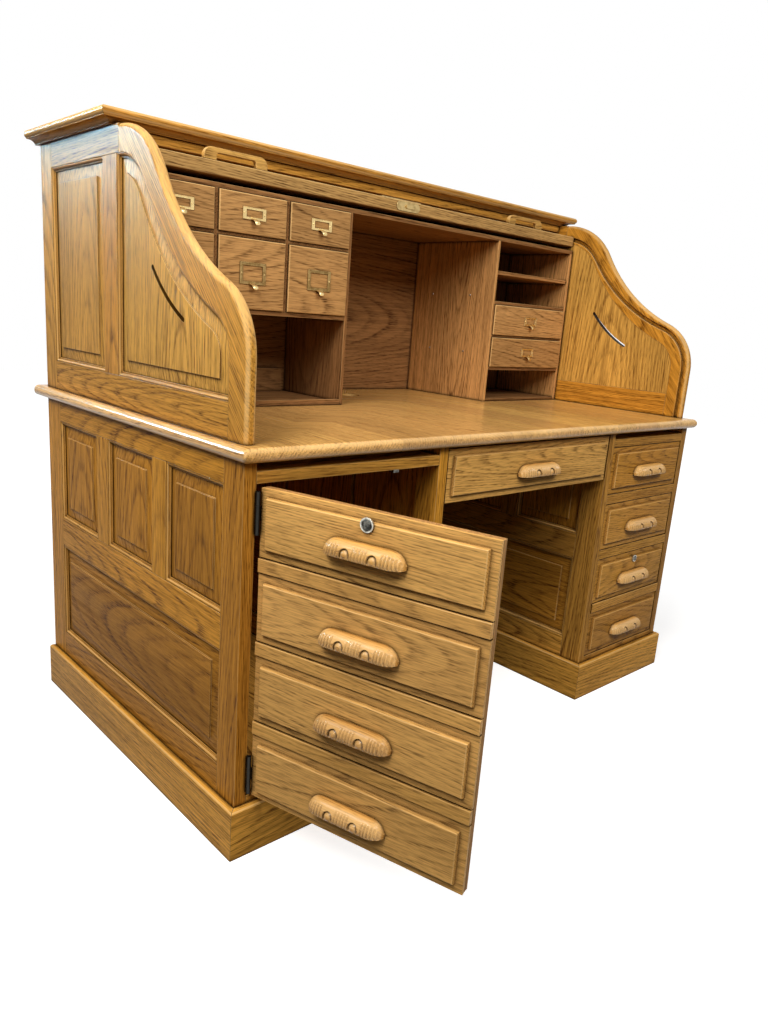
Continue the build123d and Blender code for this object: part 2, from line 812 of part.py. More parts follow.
first_slat_y = lead_y1 + slat_pitch / 2
for i in range(loose_slats):
    save("tambour_slat_" + str(i + 1), [slat(first_slat_y + i * slat_pitch, groove_z, 0)])
run_y0 = first_slat_y + loose_slats * slat_pitch
run = [slat(run_y0 + i * slat_pitch, groove_z, 0) for i in range(run_slats)]
save("tambour_run", run)
tail = []
for i in range(tail_slats):
    s = run_y0 + (run_slats + i) * slat_pitch - bend_y
    if s <= 0:
        tail.append(slat(bend_y + s, groove_z, 0))
    elif s < bend_r * pi / 2:
        t = s / bend_r
        tail.append(slat(bend_y + bend_r * sin(t), bend_z + bend_r * cos(t), -t * 180 / pi))
    else:
        tail.append(slat(groove_rear, bend_z - (s - bend_r * pi / 2), -90))
save("tambour_tail", tail)

# Lift handles and lock of the lead rail
handle_y = lead_y0 + handle_set
handles = []
for x in handle_x:
    with BuildPart() as handle:
        with BuildSketch(Plane.XZ.offset(-handle_y)):
            with Locations((x, lead_top + handle_h / 2)):
                Rectangle(handle_w, handle_h)
        extrude(amount=handle_t)
        tall = handle.edges().filter_by(Axis.Y).group_by(Axis.Z)[-1]
        fillet(tall, radius=handle_h * 0.72)
        with BuildSketch(Plane.XZ.offset(-handle_y - 1)):
            with Locations((x, lead_top)):
                RectangleRounded(handle_hole_w, 2 * handle_hole_h, handle_hole_ease)
        extrude(amount=handle_t + 2, both=True, mode=Mode.SUBTRACT)
    handles.append(handle.part)
save("lift_handles", handles)


def round_ended(x, z, y_face, w, h, t):
    """A plate with round ends that stands out to the front of a face."""
    with BuildPart() as piece:
        with BuildSketch(Plane.XZ.offset(-y_face)):
            with Locations((x, z)):
                SlotOverall(w, h)
        extrude(amount=t)
    return piece.part


lock_z = lead_top - lock_below - lock_h / 2
strike_y = lead_y0 + lead_ease
tambour_lock = [
    round_ended(0, lock_z, lead_y0, lock_w, lock_h, lock_t),
    round_ended(bolt_x, lock_z, lead_y0 - lock_t - glue, bolt_w, bolt_h, bolt_t),
    board(
        strike_x - strike_w / 2,
        strike_x + strike_w / 2,
        strike_y,
        strike_y + strike_d,
        lead_top,
        lead_top + strike_t,
    ),
]
save("tambour_lock", tambour_lock)

# Organiser: boards of the pigeonholes
oh = hutch_in - org_end_clear
ot = org_top - org_top_t
oe = org_end_t
op = org_part_t
of0 = org_front
floor_z = desktop_top + org_floor_t
centre_x0 = org_left_x + op
centre_x1 = org_right_x - op
case = [
    board(-oh, oh, of0, org_centre_back, ot + glue, org_top),
    board(-oh, -oh + oe, of0, org_centre_back, desktop_top, ot),
    board(oh - oe, oh, of0, org_centre_back, desktop_top, ot),
    board(org_left_x, centre_x0, of0, org_centre_back, desktop_top, ot),
    board(centre_x1, org_right_x, of0, org_centre_back, desktop_top, ot),
]
left_a = -oh + oe + glue
left_b = org_left_x - glue
right_a = org_right_x + glue
right_b = oh - oe - glue
case.append(board(left_a, left_b, of0 + org_sill_t + glue, org_back, desktop_top, floor_z))
case.append(board(left_a, left_b, of0, of0 + org_sill_t, desktop_top, desktop_top + org_sill_h))
case.append(board(right_a, right_b, of0, org_back, desktop_top, floor_z))
case.append(board(left_a, left_b, of0, org_back, left_shelf_top - left_shelf_t, left_shelf_top))
columns = [(left_a, column_x[0]), (column_x[0] + op, column_x[1]), (column_x[1] + op, left_b)]
for x in column_x:
    case.append(board(x, x + op, of0, org_back, left_shelf_top + glue, ot))
for a, b in columns:
    case.append(board(a + glue, b - glue, of0, org_back, row_split, row_split + row_board_t))
drawer_a_z = right_drawers_top - right_drawer_h
drawer_b_z1 = drawer_a_z - right_divider_t
drawer_b_z = drawer_b_z1 - right_drawer_h
case.append(board(right_a, right_b, of0, org_back, right_drawers_top, right_drawers_top + right_board_t))
case.append(board(right_a, right_b, of0, org_back, drawer_b_z1, drawer_a_z))
case.append(board(right_a, right_b, of0, org_back, drawer_b_z - right_board_t, drawer_b_z))
case.append(board(left_a, left_b, org_back + glue, org_back + org_back_t, desktop_top, ot))
case.append(board(right_a, right_b, org_back + glue, org_back + org_back_t, desktop_top, ot))
case.append(board(-oh, oh, org_centre_back + glue, org_centre_back + org_back_t, desktop_top, org_top))
with BuildPart() as block:
    with Locations((block_x1 - block_w / 2, org_back - block_t / 2 - glue, floor_z + block_h / 2 + glue)):
        Box(block_w, block_t, block_h)
    fillet(block.edges().filter_by(Axis.Y).group_by(Axis.Z)[-1].sort_by(Axis.X)[-1], radius=block_r)
case.append(block.part)
save("organiser_case", case)
shelf_z1 = adjust_shelf_z + adjust_shelf_t
shelf_x0 = right_a + adjust_shelf_gap
shelf_x1 = right_b - adjust_shelf_gap
shelf_y0 = of0 + adjust_shelf_set
shelf_y1 = org_back - adjust_shelf_set
save("organiser_shelf", [board(shelf_x0, shelf_x1, shelf_y0, shelf_y1, adjust_shelf_z, shelf_z1)])
pins = []
for x, inward in ((right_a, 1), (right_b, -1)):
    for y in (of0 + shelf_pin_inset, org_back - shelf_pin_inset):
        with BuildPart() as pin:
            with BuildSketch(Plane(origin=(x, y, adjust_shelf_z - shelf_pin_r), z_dir=(inward, 0, 0))):
                Circle(shelf_pin_r)
            extrude(amount=shelf_pin_l)
        pins.append(pin.part)
save("shelf_pins", pins)


# Drawer fronts, boxes and carved pulls
def raised_front(x0, x1, z0, z1, y_face):
    """A drawer front: flat border with a raised field in the middle."""
    w = x1 - x0
    h = z1 - z0
    xc = (x0 + x1) / 2
    zc = (z0 + z1) / 2
    back = Plane(origin=(xc, y_face + front_plate_t, zc), x_dir=(1, 0, 0), z_dir=(0, -1, 0))
    b = 2 * front_border
    f = 2 * (front_border + front_slope)
    with BuildPart() as piece:
        with BuildSketch(back):
            Rectangle(w, h)
        extrude(amount=front_plate_t)
        with BuildSketch(back.offset(front_plate_t)):
            Rectangle(w - b, h - b)
        with BuildSketch(back.offset(front_plate_t + front_rise)):
            Rectangle(w - f, h - f)
        loft()
        upper = piece.faces().sort_by(Axis.Y)[0].edges()
        fillet(upper, radius=front_ease)
    return piece.part


def carved_pull(x, z, y_back):
    """A carved pull: rounded bar, hollowed under for the fingers, two arched gouges."""
    d = pull_d
    h = pull_h
    with BuildPart() as piece:
        with BuildSketch(Plane.YZ.offset(-pull_len / 2)):
            with BuildLine():
                Line((0, -0.5 * h), (0, 0.5 * h))
                ThreePointArc((0, 0.5 * h), (-0.68 * d, 0.22 * h), (-0.98 * d, -0.34 * h))
                Line((-0.98 * d, -0.34 * h), (-0.9 * d, -0.5 * h))
                ThreePointArc((-0.9 * d, -0.5 * h), (-0.58 * d, -0.18 * h), (-0.3 * d, -0.5 * h))
                Line((-0.3 * d, -0.5 * h), (0, -0.5 * h))
            make_face()
        extrude(amount=pull_len)
        with BuildSketch(Plane.XY.offset(-h)):
            with Locations((0, 0)):
                SlotOverall(pull_len, 2 * d)
        extrude(amount=2 * h, mode=Mode.INTERSECT)
        with BuildSketch(Plane.XZ.offset(-1)):
            with Locations((0, -0.5 * h)):
                RectangleRounded(pull_len, 2 * h, 0.9 * h)
        extrude(amount=2 * d, mode=Mode.INTERSECT)
        for side in (-1, 1):
            with BuildSketch(Plane.XZ.offset(d + 2)):
                with Locations((side * gouge_x, -0.2 * h)):
                    Circle(gouge_r)
                    Circle(gouge_r - gouge_w, mode=Mode.SUBTRACT)
                    with Locations((0, -0.66 * gouge_r)):
                        Rectangle(2.2 * gouge_r, 1.32 * gouge_r, mode=Mode.SUBTRACT)
            extrude(amount=-0.36 * d, mode=Mode.SUBTRACT)
    return Pos(x, y_back, z) * piece.part


def drawer_boards(x0, x1, z0, z1, y0, depth, side_t_, bottom_t):
    """Sides, back and bottom of a drawer box behind its front."""
    y1 = y0 + depth
    return [
        board(x0, x0 + side_t_, y0, y1, z0, z1),
        board(x1 - side_t_, x1, y0, y1, z0, z1),
        board(x0 + side_t_ + glue, x1 - side_t_ - glue, y1 - side_t_, y1, z0, z1),
        board(
            x0 + side_t_ + glue,
            x1 - side_t_ - glue,
            y0,
            y1 - side_t_ - glue,
            z0 + bottom_lift,
            z0 + bottom_lift + bottom_t,
        ),
    ]


front_y = case_face + front_setback
plate_back = front_y + front_plate_t
pull_y = front_y - front_rise
box_y = plate_back + sub_front_t + 2 * glue


def pedestal_drawer(name, x0, x1, z0, z1, rails):
    """A drawer of the right pedestal with one or two raised fronts on its sub front."""
    fx0 = x0 + front_gap
    fx1 = x1 - front_gap
    fz0 = z0 + front_gap
    fz1 = z1 - front_gap
    bx0 = x0 + drawer_side_gap
    bx1 = x1 - drawer_side_gap
    pieces = [board(fx0, fx1, plate_back + glue, box_y - glue, fz0, fz1)]
    bz0 = z0 + slide_gap
    bz1 = fz1 - drawer_head_room
    pieces.extend(drawer_boards(bx0, bx1, bz0, bz1, box_y, drawer_depth, drawer_side_t, drawer_bottom_t))
    levels = [fz0]
    for r in rails:
        levels.extend((r - front_gap, r + front_rail_h + front_gap))
    levels.append(fz1)
    for i in range(0, len(levels), 2):
        pieces.append(raised_front(fx0, fx1, levels[i], levels[i + 1], front_y))
    for r in rails:
        strip_y = case_face - strip_proud
        pieces.append(eased_board(fx0, fx1, strip_y, plate_back, r, r + front_rail_h, Axis.X, front_ease))
    save(name, pieces)


z_low = lowest_rail_top
xm = (right_in0 + right_in1) / 2
foot_z = [z_low + i * opening_pitch for i in range(4)]
pedestal_drawer("drawer_1", right_in0, right_in1, foot_z[3], opening_top, [])
pedestal_drawer("drawer_2", right_in0, right_in1, foot_z[2], foot_z[2] + opening_h, [])
pedestal_drawer("file_drawer", right_in0, right_in1, foot_z[0], foot_z[1] + opening_h, [z_low + opening_h])
pull_z = [z_low + i * opening_pitch + opening_h / 2 - pull_drop for i in range(4)]
save("drawer_1_pull", [carved_pull(xm, pull_z[3], pull_y)])
save("drawer_2_pull", [carved_pull(xm, pull_z[2], pull_y)])
save("file_drawer_pulls", [carved_pull(xm, pull_z[1], pull_y), carved_pull(xm, pull_z[0], pull_y)])

# Centre drawer
cx0 = left_x1 + centre_side_gap
cx1 = right_x0 - centre_side_gap
centre = [
    raised_front(cx0, cx1, centre_bottom, centre_top, front_y),
    board(cx0, cx1, plate_back + glue, box_y - glue, centre_bottom, centre_top),
]
centre.extend(
    drawer_boards(
        cx0 + centre_box_gap,
        cx1 - centre_box_gap,
        centre_runner_top + slide_gap,
        centre_top - centre_head_room,
        box_y,
        centre_drawer_depth,
        drawer_side_t,
        drawer_bottom_t,
    )
)
save("centre_drawer", centre)
centre_pull_z = (centre_bottom + centre_top) / 2 - pull_drop
save("centre_drawer_pull", [carved_pull((cx0 + cx1) / 2, centre_pull_z, pull_y)])


# Round cam locks
def cam_lock(x, z, y_face, radius):
    """A round lock: a flange, and a plug with its key slot standing out of it."""
    plug_y = y_face - lock_flange_t
    nose_y = plug_y - lock_plug_t
    with BuildPart() as piece:
        with BuildSketch(Plane.XZ.offset(-y_face)):
            with Locations((x, z)):
                Circle(radius)
        extrude(amount=lock_flange_t)
        with BuildSketch(Plane.XZ.offset(-plug_y)):
            with Locations((x, z)):
                Circle(lock_plug_share * radius)
        extrude(amount=lock_plug_t)
        with BuildSketch(Plane.XZ.offset(-nose_y)):
            with Locations((x, z)):
                Rectangle(key_slot_w, key_slot_h)
        extrude(amount=-key_slot_d, mode=Mode.SUBTRACT)
    return piece.part


file_lock_z = z_low + opening_pitch + opening_h - file_lock_drop
save("file_drawer_lock", [cam_lock(xm, file_lock_z, pull_y, file_lock_r)])


# Cabinet door, built closed and swung open about its hinge pins
def swing(piece):
    """Turn a piece of the closed door about the hinge line to the open pose."""
    return Pos(hinge_x, hinge_y, 0) * Rot(0, 0, -door_open) * Pos(-hinge_x, -hinge_y, 0) * piece


door_z0 = lowest_rail_top + front_gap
door_z1 = opening_top - door_head_gap
slab_y = door_face + front_plate_t
save("door_slab", [swing(board(door_x0, door_x1, slab_y + glue, slab_y + door_t, door_z0, door_z1))])
door_fronts = []
door_strips = []
door_pulls = []
door_xm = (door_x0 + door_x1) / 2
for i in range(4):
    z0 = max(door_z0, z_low + i * opening_pitch + front_gap)
    z1 = min(door_z1, z_low + i * opening_pitch + opening_h - front_gap)
    door_fronts.append(swing(raised_front(door_x0, door_x1, z0, z1, door_face)))
    door_pulls.append(swing(carved_pull(door_xm, pull_z[i], pull_y)))
    if i:
        r = z_low + i * opening_pitch - front_rail_h
        strip_y = slab_y - strip_t
        strip = eased_board(door_x0, door_x1, strip_y, slab_y, r, r + front_rail_h, Axis.X, front_ease)
        door_strips.append(swing(strip))
save("door_fronts", door_fronts)
save("door_strips", door_strips)
save("door_pulls", door_pulls)
door_lock_z = z_low + 3 * opening_pitch + opening_h - door_lock_drop
save("door_lock", [swing(cam_lock(door_xm, door_lock_z, pull_y, door_lock_r))])


# Butt hinges: two on the post with their pins, their other leaves on the door
leaf_end = hinge_y + knuckle_r + hinge_leaf_w
leaf_root = case_face + hinge_root_gap


def knuckle(z0, z1):
    """A knuckle of the hinge round the pin line."""
    with BuildPart() as piece:
        with BuildSketch(Plane.XY.offset(z0)):
            with Locations((hinge_x, hinge_y)):
                Circle(knuckle_r)
        extrude(amount=z1 - z0)
    return piece.part


def leaf(x0, z0, z1):
    """A hinge leaf that runs back from the knuckle between post and door."""
    return board(x0, x0 + hinge_leaf_t, hinge_y + knuckle_r - hinge_leaf_t, leaf_end, z0, z1)


post_leaves = []
door_leaves = []
third = hinge_len / 3
for z in (door_z0 + hinge_from_end, door_z1 - hinge_from_end - hinge_len):
    with BuildPart() as post_leaf:
        add(knuckle(z, z + third))
        add(knuckle(z + 2 * third, z + hinge_len))
        add(leaf(left_in0, z, z + third))
        add(leaf(left_in0, z + 2 * third, z + hinge_len))
        add(board(left_in0, left_in0 + hinge_leaf_t, leaf_root, leaf_end, z, z + hinge_len))
        with BuildSketch(Plane.XY.offset(z)):
            with Locations((hinge_x, hinge_y)):
                Circle(pin_r)
        extrude(amount=hinge_len)
    post_leaves.append(post_leaf.part)
    with BuildPart() as door_leaf:
        add(knuckle(z + third + hinge_play, z + 2 * third - hinge_play))
        add(leaf(door_x0 - hinge_leaf_t, z + third + hinge_play, z + 2 * third - hinge_play))
        with BuildSketch(Plane.XY.offset(z)):
            with Locations((hinge_x, hinge_y)):
                Circle(pin_r + pin_fit)
        extrude(amount=hinge_len, mode=Mode.SUBTRACT)
    door_leaves.append(swing(door_leaf.part))
save("post_hinge_leaves", post_leaves)
save("door_hinge_leaves", door_leaves)

# Spring catch under the slot rail
catch_x = left_in1 - catch_from_post
catch_y = door_back_y + catch_gap + catch_plate_d / 2
catch_z = opening_top - catch_plate_t
catch = [
    board(
        catch_x - catch_plate_w / 2,
        catch_x + catch_plate_w / 2,
        catch_y - catch_plate_d / 2,
        catch_y + catch_plate_d / 2,
        catch_z,
        opening_top,
    ),
    board(
        catch_x - catch_w / 2,
        catch_x + catch_w / 2,
        catch_y - catch_d / 2,
        catch_y + catch_d / 2,
        catch_z - glue - catch_h,
        catch_z - glue,
    ),
]
save("door_catch", catch)


# Small drawers of the organiser with their brass card-frame pulls
def small_drawer(name, x0, x1, z0, z1, frame_w, frame_h):
    """One little drawer and its pull."""
    a = x0 + small_gap
    b = x1 - small_gap
    z_a = z0 + small_gap / 2
    z_b = z1 - small_gap
    y0 = of0 - small_proud
    y1 = y0 + small_front_t
    with BuildPart() as face:
        with Locations(((a + b) / 2, (y0 + y1) / 2, (z_a + z_b) / 2)):
            Box(b - a, small_front_t, z_b - z_a)
        fillet(face.faces().sort_by(Axis.Y)[0].edges(), radius=small_front_ease)
    pieces = [face.part]
    side_z1 = z_b - small_head_room
    pieces.extend(drawer_boards(a, b, z_a, side_z1, y1 + glue, small_depth, small_side_t, small_bottom_t))
    save(name, pieces)
    xc = (a + b) / 2
    zc = (z_a + z_b) / 2 + 0.03 * frame_w
    with BuildPart() as pull:
        with BuildSketch(Plane.XZ.offset(-y0)):
            with Locations((xc, zc)):
                Rectangle(frame_w, frame_h)
                Rectangle(frame_w * 0.72, frame_h * 0.6, mode=Mode.SUBTRACT)
        extrude(amount=card_t)
        low = zc - frame_h / 2
        tip = y0 - hook_d
        knee = low - hook_knee
        foot = low - hook_drop
        with BuildSketch(Plane.YZ.offset(xc - hook_w / 2)):
            with BuildLine():
                Polyline((y0, low + card_t), (y0 - card_t, low + card_t), (tip, knee), (tip, foot))
                Polyline((tip, foot), (tip + hook_t, foot), (tip + hook_t, knee), (y0, low - 1))
                Line((y0, low - 1), (y0, low + card_t))
            make_face()
        extrude(amount=hook_w)
    save(name + "_pull", [pull.part])


for i, (a, b) in enumerate(columns):
    small_drawer("letter_drawer_" + str(i + 1), a, b, row_split + row_board_t, ot, card_w, card_h)
    small_drawer("letter_drawer_" + str(i + 4), a, b, left_shelf_top, row_split, tall_card_w, tall_card_h)
small_drawer("letter_drawer_7", right_a, right_b, drawer_a_z, right_drawers_top, card_w, card_h)
small_drawer("letter_drawer_8", right_a, right_b, drawer_b_z, drawer_b_z1, card_w, card_h)
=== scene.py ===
"""Looks of the S-curve roll top desk: eased oak boards, carved pulls, brass and nickel fittings.

Metres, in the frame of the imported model: X to the right, Y to the back, Z up, floor at Z = 0.
"""

import json
import zlib
from math import cos, pi, radians, sin, sqrt

import bmesh
import bpy
import numpy as np
from mathutils import Matrix, Vector
from mathutils.geometry import intersect_point_line


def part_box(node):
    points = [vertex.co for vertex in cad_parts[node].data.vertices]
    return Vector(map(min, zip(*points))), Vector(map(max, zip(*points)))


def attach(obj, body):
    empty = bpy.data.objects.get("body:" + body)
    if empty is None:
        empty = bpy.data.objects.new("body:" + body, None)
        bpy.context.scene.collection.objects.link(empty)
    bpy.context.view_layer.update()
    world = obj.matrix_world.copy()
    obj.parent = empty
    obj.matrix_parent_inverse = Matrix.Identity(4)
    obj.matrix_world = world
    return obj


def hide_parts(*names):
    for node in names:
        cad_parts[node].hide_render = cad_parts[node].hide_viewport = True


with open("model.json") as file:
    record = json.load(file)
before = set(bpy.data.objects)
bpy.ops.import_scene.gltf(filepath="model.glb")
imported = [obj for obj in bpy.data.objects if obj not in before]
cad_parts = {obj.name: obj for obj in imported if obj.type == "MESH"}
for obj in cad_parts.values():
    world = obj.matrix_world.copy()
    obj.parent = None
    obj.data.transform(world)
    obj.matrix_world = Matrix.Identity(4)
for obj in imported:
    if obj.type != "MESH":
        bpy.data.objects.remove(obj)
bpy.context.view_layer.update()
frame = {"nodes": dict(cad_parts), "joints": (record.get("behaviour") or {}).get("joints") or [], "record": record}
nodes = frame["nodes"]
bodies = frame["record"]["behaviour"]["bodies"]
node_body = {node: body for body, members in bodies.items() for node in members}
node_slot = {part["node"]: part["material_slot"] for part in frame["record"]["subparts"]}
MM = 0.001

# Where the desk's own front line lies in the frame, taken from the front of the base mouldings
DESK_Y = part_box("plinths")[0].y

# Camera, in the desk's own coordinates, millimetres and degrees
CAMERA_AT = (-1432.9, -1046.0, 980.3)
CAMERA_YAW = 43.27
CAMERA_PITCH = -13.95
CAMERA_ROLL = 4.3
CAMERA_FOCAL_PX = 780.8
IMAGE_W = 768
CAMERA_CENTRE_PX = 382.2
SENSOR = 36.0

# Colours, linear
OAK_LIGHT = (0.680, 0.330, 0.058)
OAK_DARK = (0.120, 0.040, 0.006)
PANEL_LIGHT = (0.700, 0.345, 0.062)
PANEL_DARK = (0.150, 0.053, 0.008)
TOP_LIGHT = (0.860, 0.460, 0.115)
TOP_DARK = (0.240, 0.090, 0.016)
FRONT_LIGHT = (0.700, 0.370, 0.098)
FRONT_DARK = (0.130, 0.050, 0.011)
CARVED_LIGHT = (0.780, 0.410, 0.100)
CARVED_DARK = (0.300, 0.115, 0.018)
# The inside oak is darker than the case oak: partly its own colour, partly painted shade of the interiors
INSIDE_LIGHT = (0.500, 0.250, 0.088)
INSIDE_DARK = (0.110, 0.045, 0.015)
PORE_COLOUR = (0.040, 0.013, 0.003)
CREVICE_GRIME_AND_SHADE_COLOUR = (0.020, 0.007, 0.002)
WORN_AND_HIGHLIGHT_COLOUR = (0.820, 0.540, 0.230)
BRASS_LIGHT = (0.80, 0.60, 0.27)
BRASS_DARK = (0.26, 0.16, 0.05)
NICKEL_LIGHT = (0.60, 0.58, 0.50)
# The fully dull end of the metal; on the hinge leaves it is partly painted shade
NICKEL_DARK = (0.020, 0.019, 0.016)

# How far the darkened corners reach: partly grime in the old varnish, partly painted shade
GRIME_AND_SHADE_REACH = 9 * MM


class Tree:
    """A short way to write a material's nodes."""

    def __init__(self, name):
        self.material = bpy.data.materials.new(name)
        self.material.use_nodes = True
        self.nodes = self.material.node_tree.nodes
        self.links = self.material.node_tree.links
        self.shader = self.nodes["Principled BSDF"]

    def put(self, socket, value):
        if isinstance(value, bpy.types.NodeSocket):
            self.links.new(value, socket)
        else:
            socket.default_value = value

    def math(self, operation, a, b=0.0, clamp=False):
        node = self.nodes.new("ShaderNodeMath")
        node.operation = operation
        node.use_clamp = clamp
        self.put(node.inputs[0], a)
        self.put(node.inputs[1], b)
        return node.outputs[0]

    def stretched(self, vector, scale):
        node = self.nodes.new("ShaderNodeVectorMath")
        node.operation = "MULTIPLY"
        self.put(node.inputs[0], vector)
        node.inputs[1].default_value = scale
        return node.outputs[0]

    def noise(self, vector, scale, detail=2.0, roughness=0.5):
        node = self.nodes.new("ShaderNodeTexNoise")
        self.put(node.inputs["Vector"], self.stretched(vector, scale))
        node.inputs["Scale"].default_value = 1.0
        node.inputs["Detail"].default_value = detail
        node.inputs["Roughness"].default_value = roughness
        return node.outputs["Fac"]

    def span(self, value, low, high, to_low=0.0, to_high=1.0):
        node = self.nodes.new("ShaderNodeMapRange")
        node.clamp = True
        self.put(node.inputs["Value"], value)
        node.inputs["From Min"].default_value = low
        node.inputs["From Max"].default_value = high
        node.inputs["To Min"].default_value = to_low
        node.inputs["To Max"].default_value = to_high
        return node.outputs["Result"]

    def mix(self, factor, a, b, blend="MIX"):
        node = self.nodes.new("ShaderNodeMix")
        node.data_type = "RGBA"
        node.blend_type = blend
        colours = [s for s in node.inputs if s.type == "RGBA"]
        self.put(node.inputs["Factor"], factor)
        for socket, value in zip(colours, (a, b)):
            self.put(socket, (*value, 1.0) if isinstance(value, tuple) else value)
        return [s for s in node.outputs if s.type == "RGBA"][0]

    def attribute(self, name, output):
        node = self.nodes.new("ShaderNodeAttribute")
        node.attribute_name = name
        return node.outputs[output]

    def split(self, vector):
        node = self.nodes.new("ShaderNodeSeparateXYZ")
        self.put(node.inputs[0], vector)
        return node.outputs

    def chance(self, number):
        """A random value for each whole number."""
        node = self.nodes.new("ShaderNodeTexWhiteNoise")
        node.noise_dimensions = "1D"
        self.put(node.inputs["W"], number)
        return node.outputs["Value"]

    def position(self):
        return self.nodes.new("ShaderNodeNewGeometry").outputs["Position"]

    def bump(self, height, strength, distance):
        node = self.nodes.new("ShaderNodeBump")
        node.inputs["Strength"].default_value = strength
        node.inputs["Distance"].default_value = distance
        self.put(node.inputs["Height"], height)
        self.links.new(node.outputs["Normal"], self.shader.inputs["Normal"])


def oak(name, light, dark, gloss, film, ring=0.0050, figure=0.046, streaks=0.40, stave=0.0):
    """Oak: growth rings cut by the board, open pores, streaks and a satin varnish.

    film is how strongly the varnish reflects, figure how far the rings wander, streaks how dark the
    long streaks are, and stave the width of the glued boards of a wide top.
    """
    t = Tree(name)
    board = t.attribute("board", "Vector")
    tone = t.attribute("tone", "Fac")
    if stave:
        board, tone = staves(t, board, stave)
    along, across, through = t.split(board)

    # Growth rings: circles round the log's heart, bent by slow noise
    bend = t.math("MULTIPLY", t.noise(board, (1.7, 9.0, 9.0)), figure)
    waver = t.math("MULTIPLY", t.noise(board, (8.0, 60.0, 60.0)), 0.004)
    side = t.math("ADD", t.math("ADD", across, bend), waver)
    depth = t.math("ADD", through, t.math("MULTIPLY", along, 0.06))
    radius = t.math("SQRT", t.math("ADD", t.math("MULTIPLY", side, side), t.math("MULTIPLY", depth, depth)))
    year = t.math("DIVIDE", radius, ring)
    phase = t.math("FRACT", year)
    strength = t.chance(t.math("FLOOR", year))

    # Early wood of each year, broken into dashes, with pores, streaks and fine lines
    early = t.math("MULTIPLY", t.span(phase, 0.0, 0.14), t.span(phase, 0.62, 0.18))
    early = t.math("MULTIPLY", early, t.span(strength, 0.0, 1.0, 0.25, 1.0))
    dash = t.noise(board, (48.0, 560.0, 560.0), 1.0)
    early = t.math("MULTIPLY", early, t.span(dash, 0.36, 0.56, 0.2, 1.0))
    streak = t.span(t.noise(board, (2.6, 130.0, 130.0), 3.0, 0.66), 0.42, 0.66)
    fine = t.span(t.noise(board, (14.0, 460.0, 460.0), 2.0), 0.46, 0.60)
    pore = t.math("MULTIPLY", t.span(dash, 0.55, 0.64), t.math("ADD", t.math("MULTIPLY", early, 0.7), 0.3))
    blotch = t.noise(board, (1.4, 6.0, 6.0), 2.0)

    # Colour: grain and pores, then the board's own tone with painted light and shade, its tint with a painted
    # sheen, edges paler from wear and a painted highlight, and corners darker from grime and painted shade
    grain = t.math("ADD", t.math("MULTIPLY", early, 0.66), t.math("MULTIPLY", streak, streaks))
    grain = t.math("ADD", grain, t.math("MULTIPLY", fine, 0.26), clamp=True)
    colour = t.mix(grain, light, dark)
    colour = t.mix(t.math("MULTIPLY", pore, 0.6), colour, PORE_COLOUR)
    shade = t.math("MULTIPLY", t.span(blotch, 0.3, 0.7, 0.82, 1.14), t.span(tone, -1.0, 2.0, 0.58, 1.36))
    value = t.nodes.new("ShaderNodeHueSaturation")
    t.put(value.inputs["Color"], colour)
    t.put(value.inputs["Value"], shade)
    t.put(value.inputs["Hue"], t.span(tone, 0.0, 1.0, 0.497, 0.503))
    # Golden tints are the varnish's own colour; bluish tints are a painted sheen of reflected light
    colour = t.mix(1.0, value.outputs["Color"], t.attribute("tint", "Color"), "MULTIPLY")
    # Rounded edges painted paler: partly wear, partly a painted highlight
    rubbed = t.math("MULTIPLY", t.attribute("rubbed", "Fac"), t.span(blotch, 0.3, 0.7, 0.25, 0.65))
    colour = t.mix(rubbed, colour, WORN_AND_HIGHLIGHT_COLOUR)
    # Corners and crevices darkened by ambient occlusion: partly grime, partly painted shade
    crevice = t.nodes.new("ShaderNodeAmbientOcclusion")
    crevice.samples = 6
    crevice.inputs["Distance"].default_value = GRIME_AND_SHADE_REACH
    grime_and_shade = t.span(crevice.outputs["AO"], 0.45, 0.92, 1.0, 0.0)
    t.put(t.shader.inputs["Base Color"], t.mix(grime_and_shade, colour, CREVICE_GRIME_AND_SHADE_COLOUR))

    # Varnish, with the pores left open
    t.put(t.shader.inputs["Roughness"], t.span(streak, 0.0, 1.0, gloss - 0.04, gloss + 0.08))
    t.shader.inputs["Specular IOR Level"].default_value = film
    relief = t.math("ADD", t.math("MULTIPLY", pore, 0.7), t.math("MULTIPLY", early, 0.3))
    t.bump(t.math("SUBTRACT", 1.0, relief), 0.25, 0.0004)
    return t.material


def staves(t, board, width):
    """Break a wide top into glued boards: each has its own stretch of grain and its own tone."""
    along, across, through = t.split(board)
    own = t.chance(t.math("FLOOR", t.math("DIVIDE", across, width)))
    joined = t.nodes.new("ShaderNodeCombineXYZ")
    t.put(joined.inputs[0], t.math("ADD", along, t.math("MULTIPLY", own, 7.0)))
    t.put(joined.inputs[1], t.math("ADD", across, t.math("MULTIPLY", own, 0.6)))
    t.put(joined.inputs[2], t.math("ADD", through, t.math("MULTIPLY", own, 0.05)))
    return joined.outputs[0], own


def metal(name, light, dark, gloss):
    """Old plated metal: tarnish in clouds, heavier on some pieces, and small scratches; on the hinge leaves the
    dullness is partly painted shade.
    """
    t = Tree(name)
    place = t.position()
    tarnish = t.attribute("tarnish", "Fac")
    cloud = t.noise(place, (90.0, 90.0, 90.0), 3.0, 0.6)
    scratch = t.noise(place, (600.0, 2400.0, 900.0), 2.0)
    dull = t.math("ADD", t.span(cloud, 0.42, 0.74, 0.0, 0.45), tarnish, clamp=True)
    t.put(t.shader.inputs["Base Color"], t.mix(dull, light, dark))
    t.shader.inputs["Metallic"].default_value = 0.85
    t.put(t.shader.inputs["Roughness"], t.span(dull, 0.0, 1.0, gloss, gloss + 0.2))
    t.bump(scratch, 0.12, 0.0002)
    return t.material


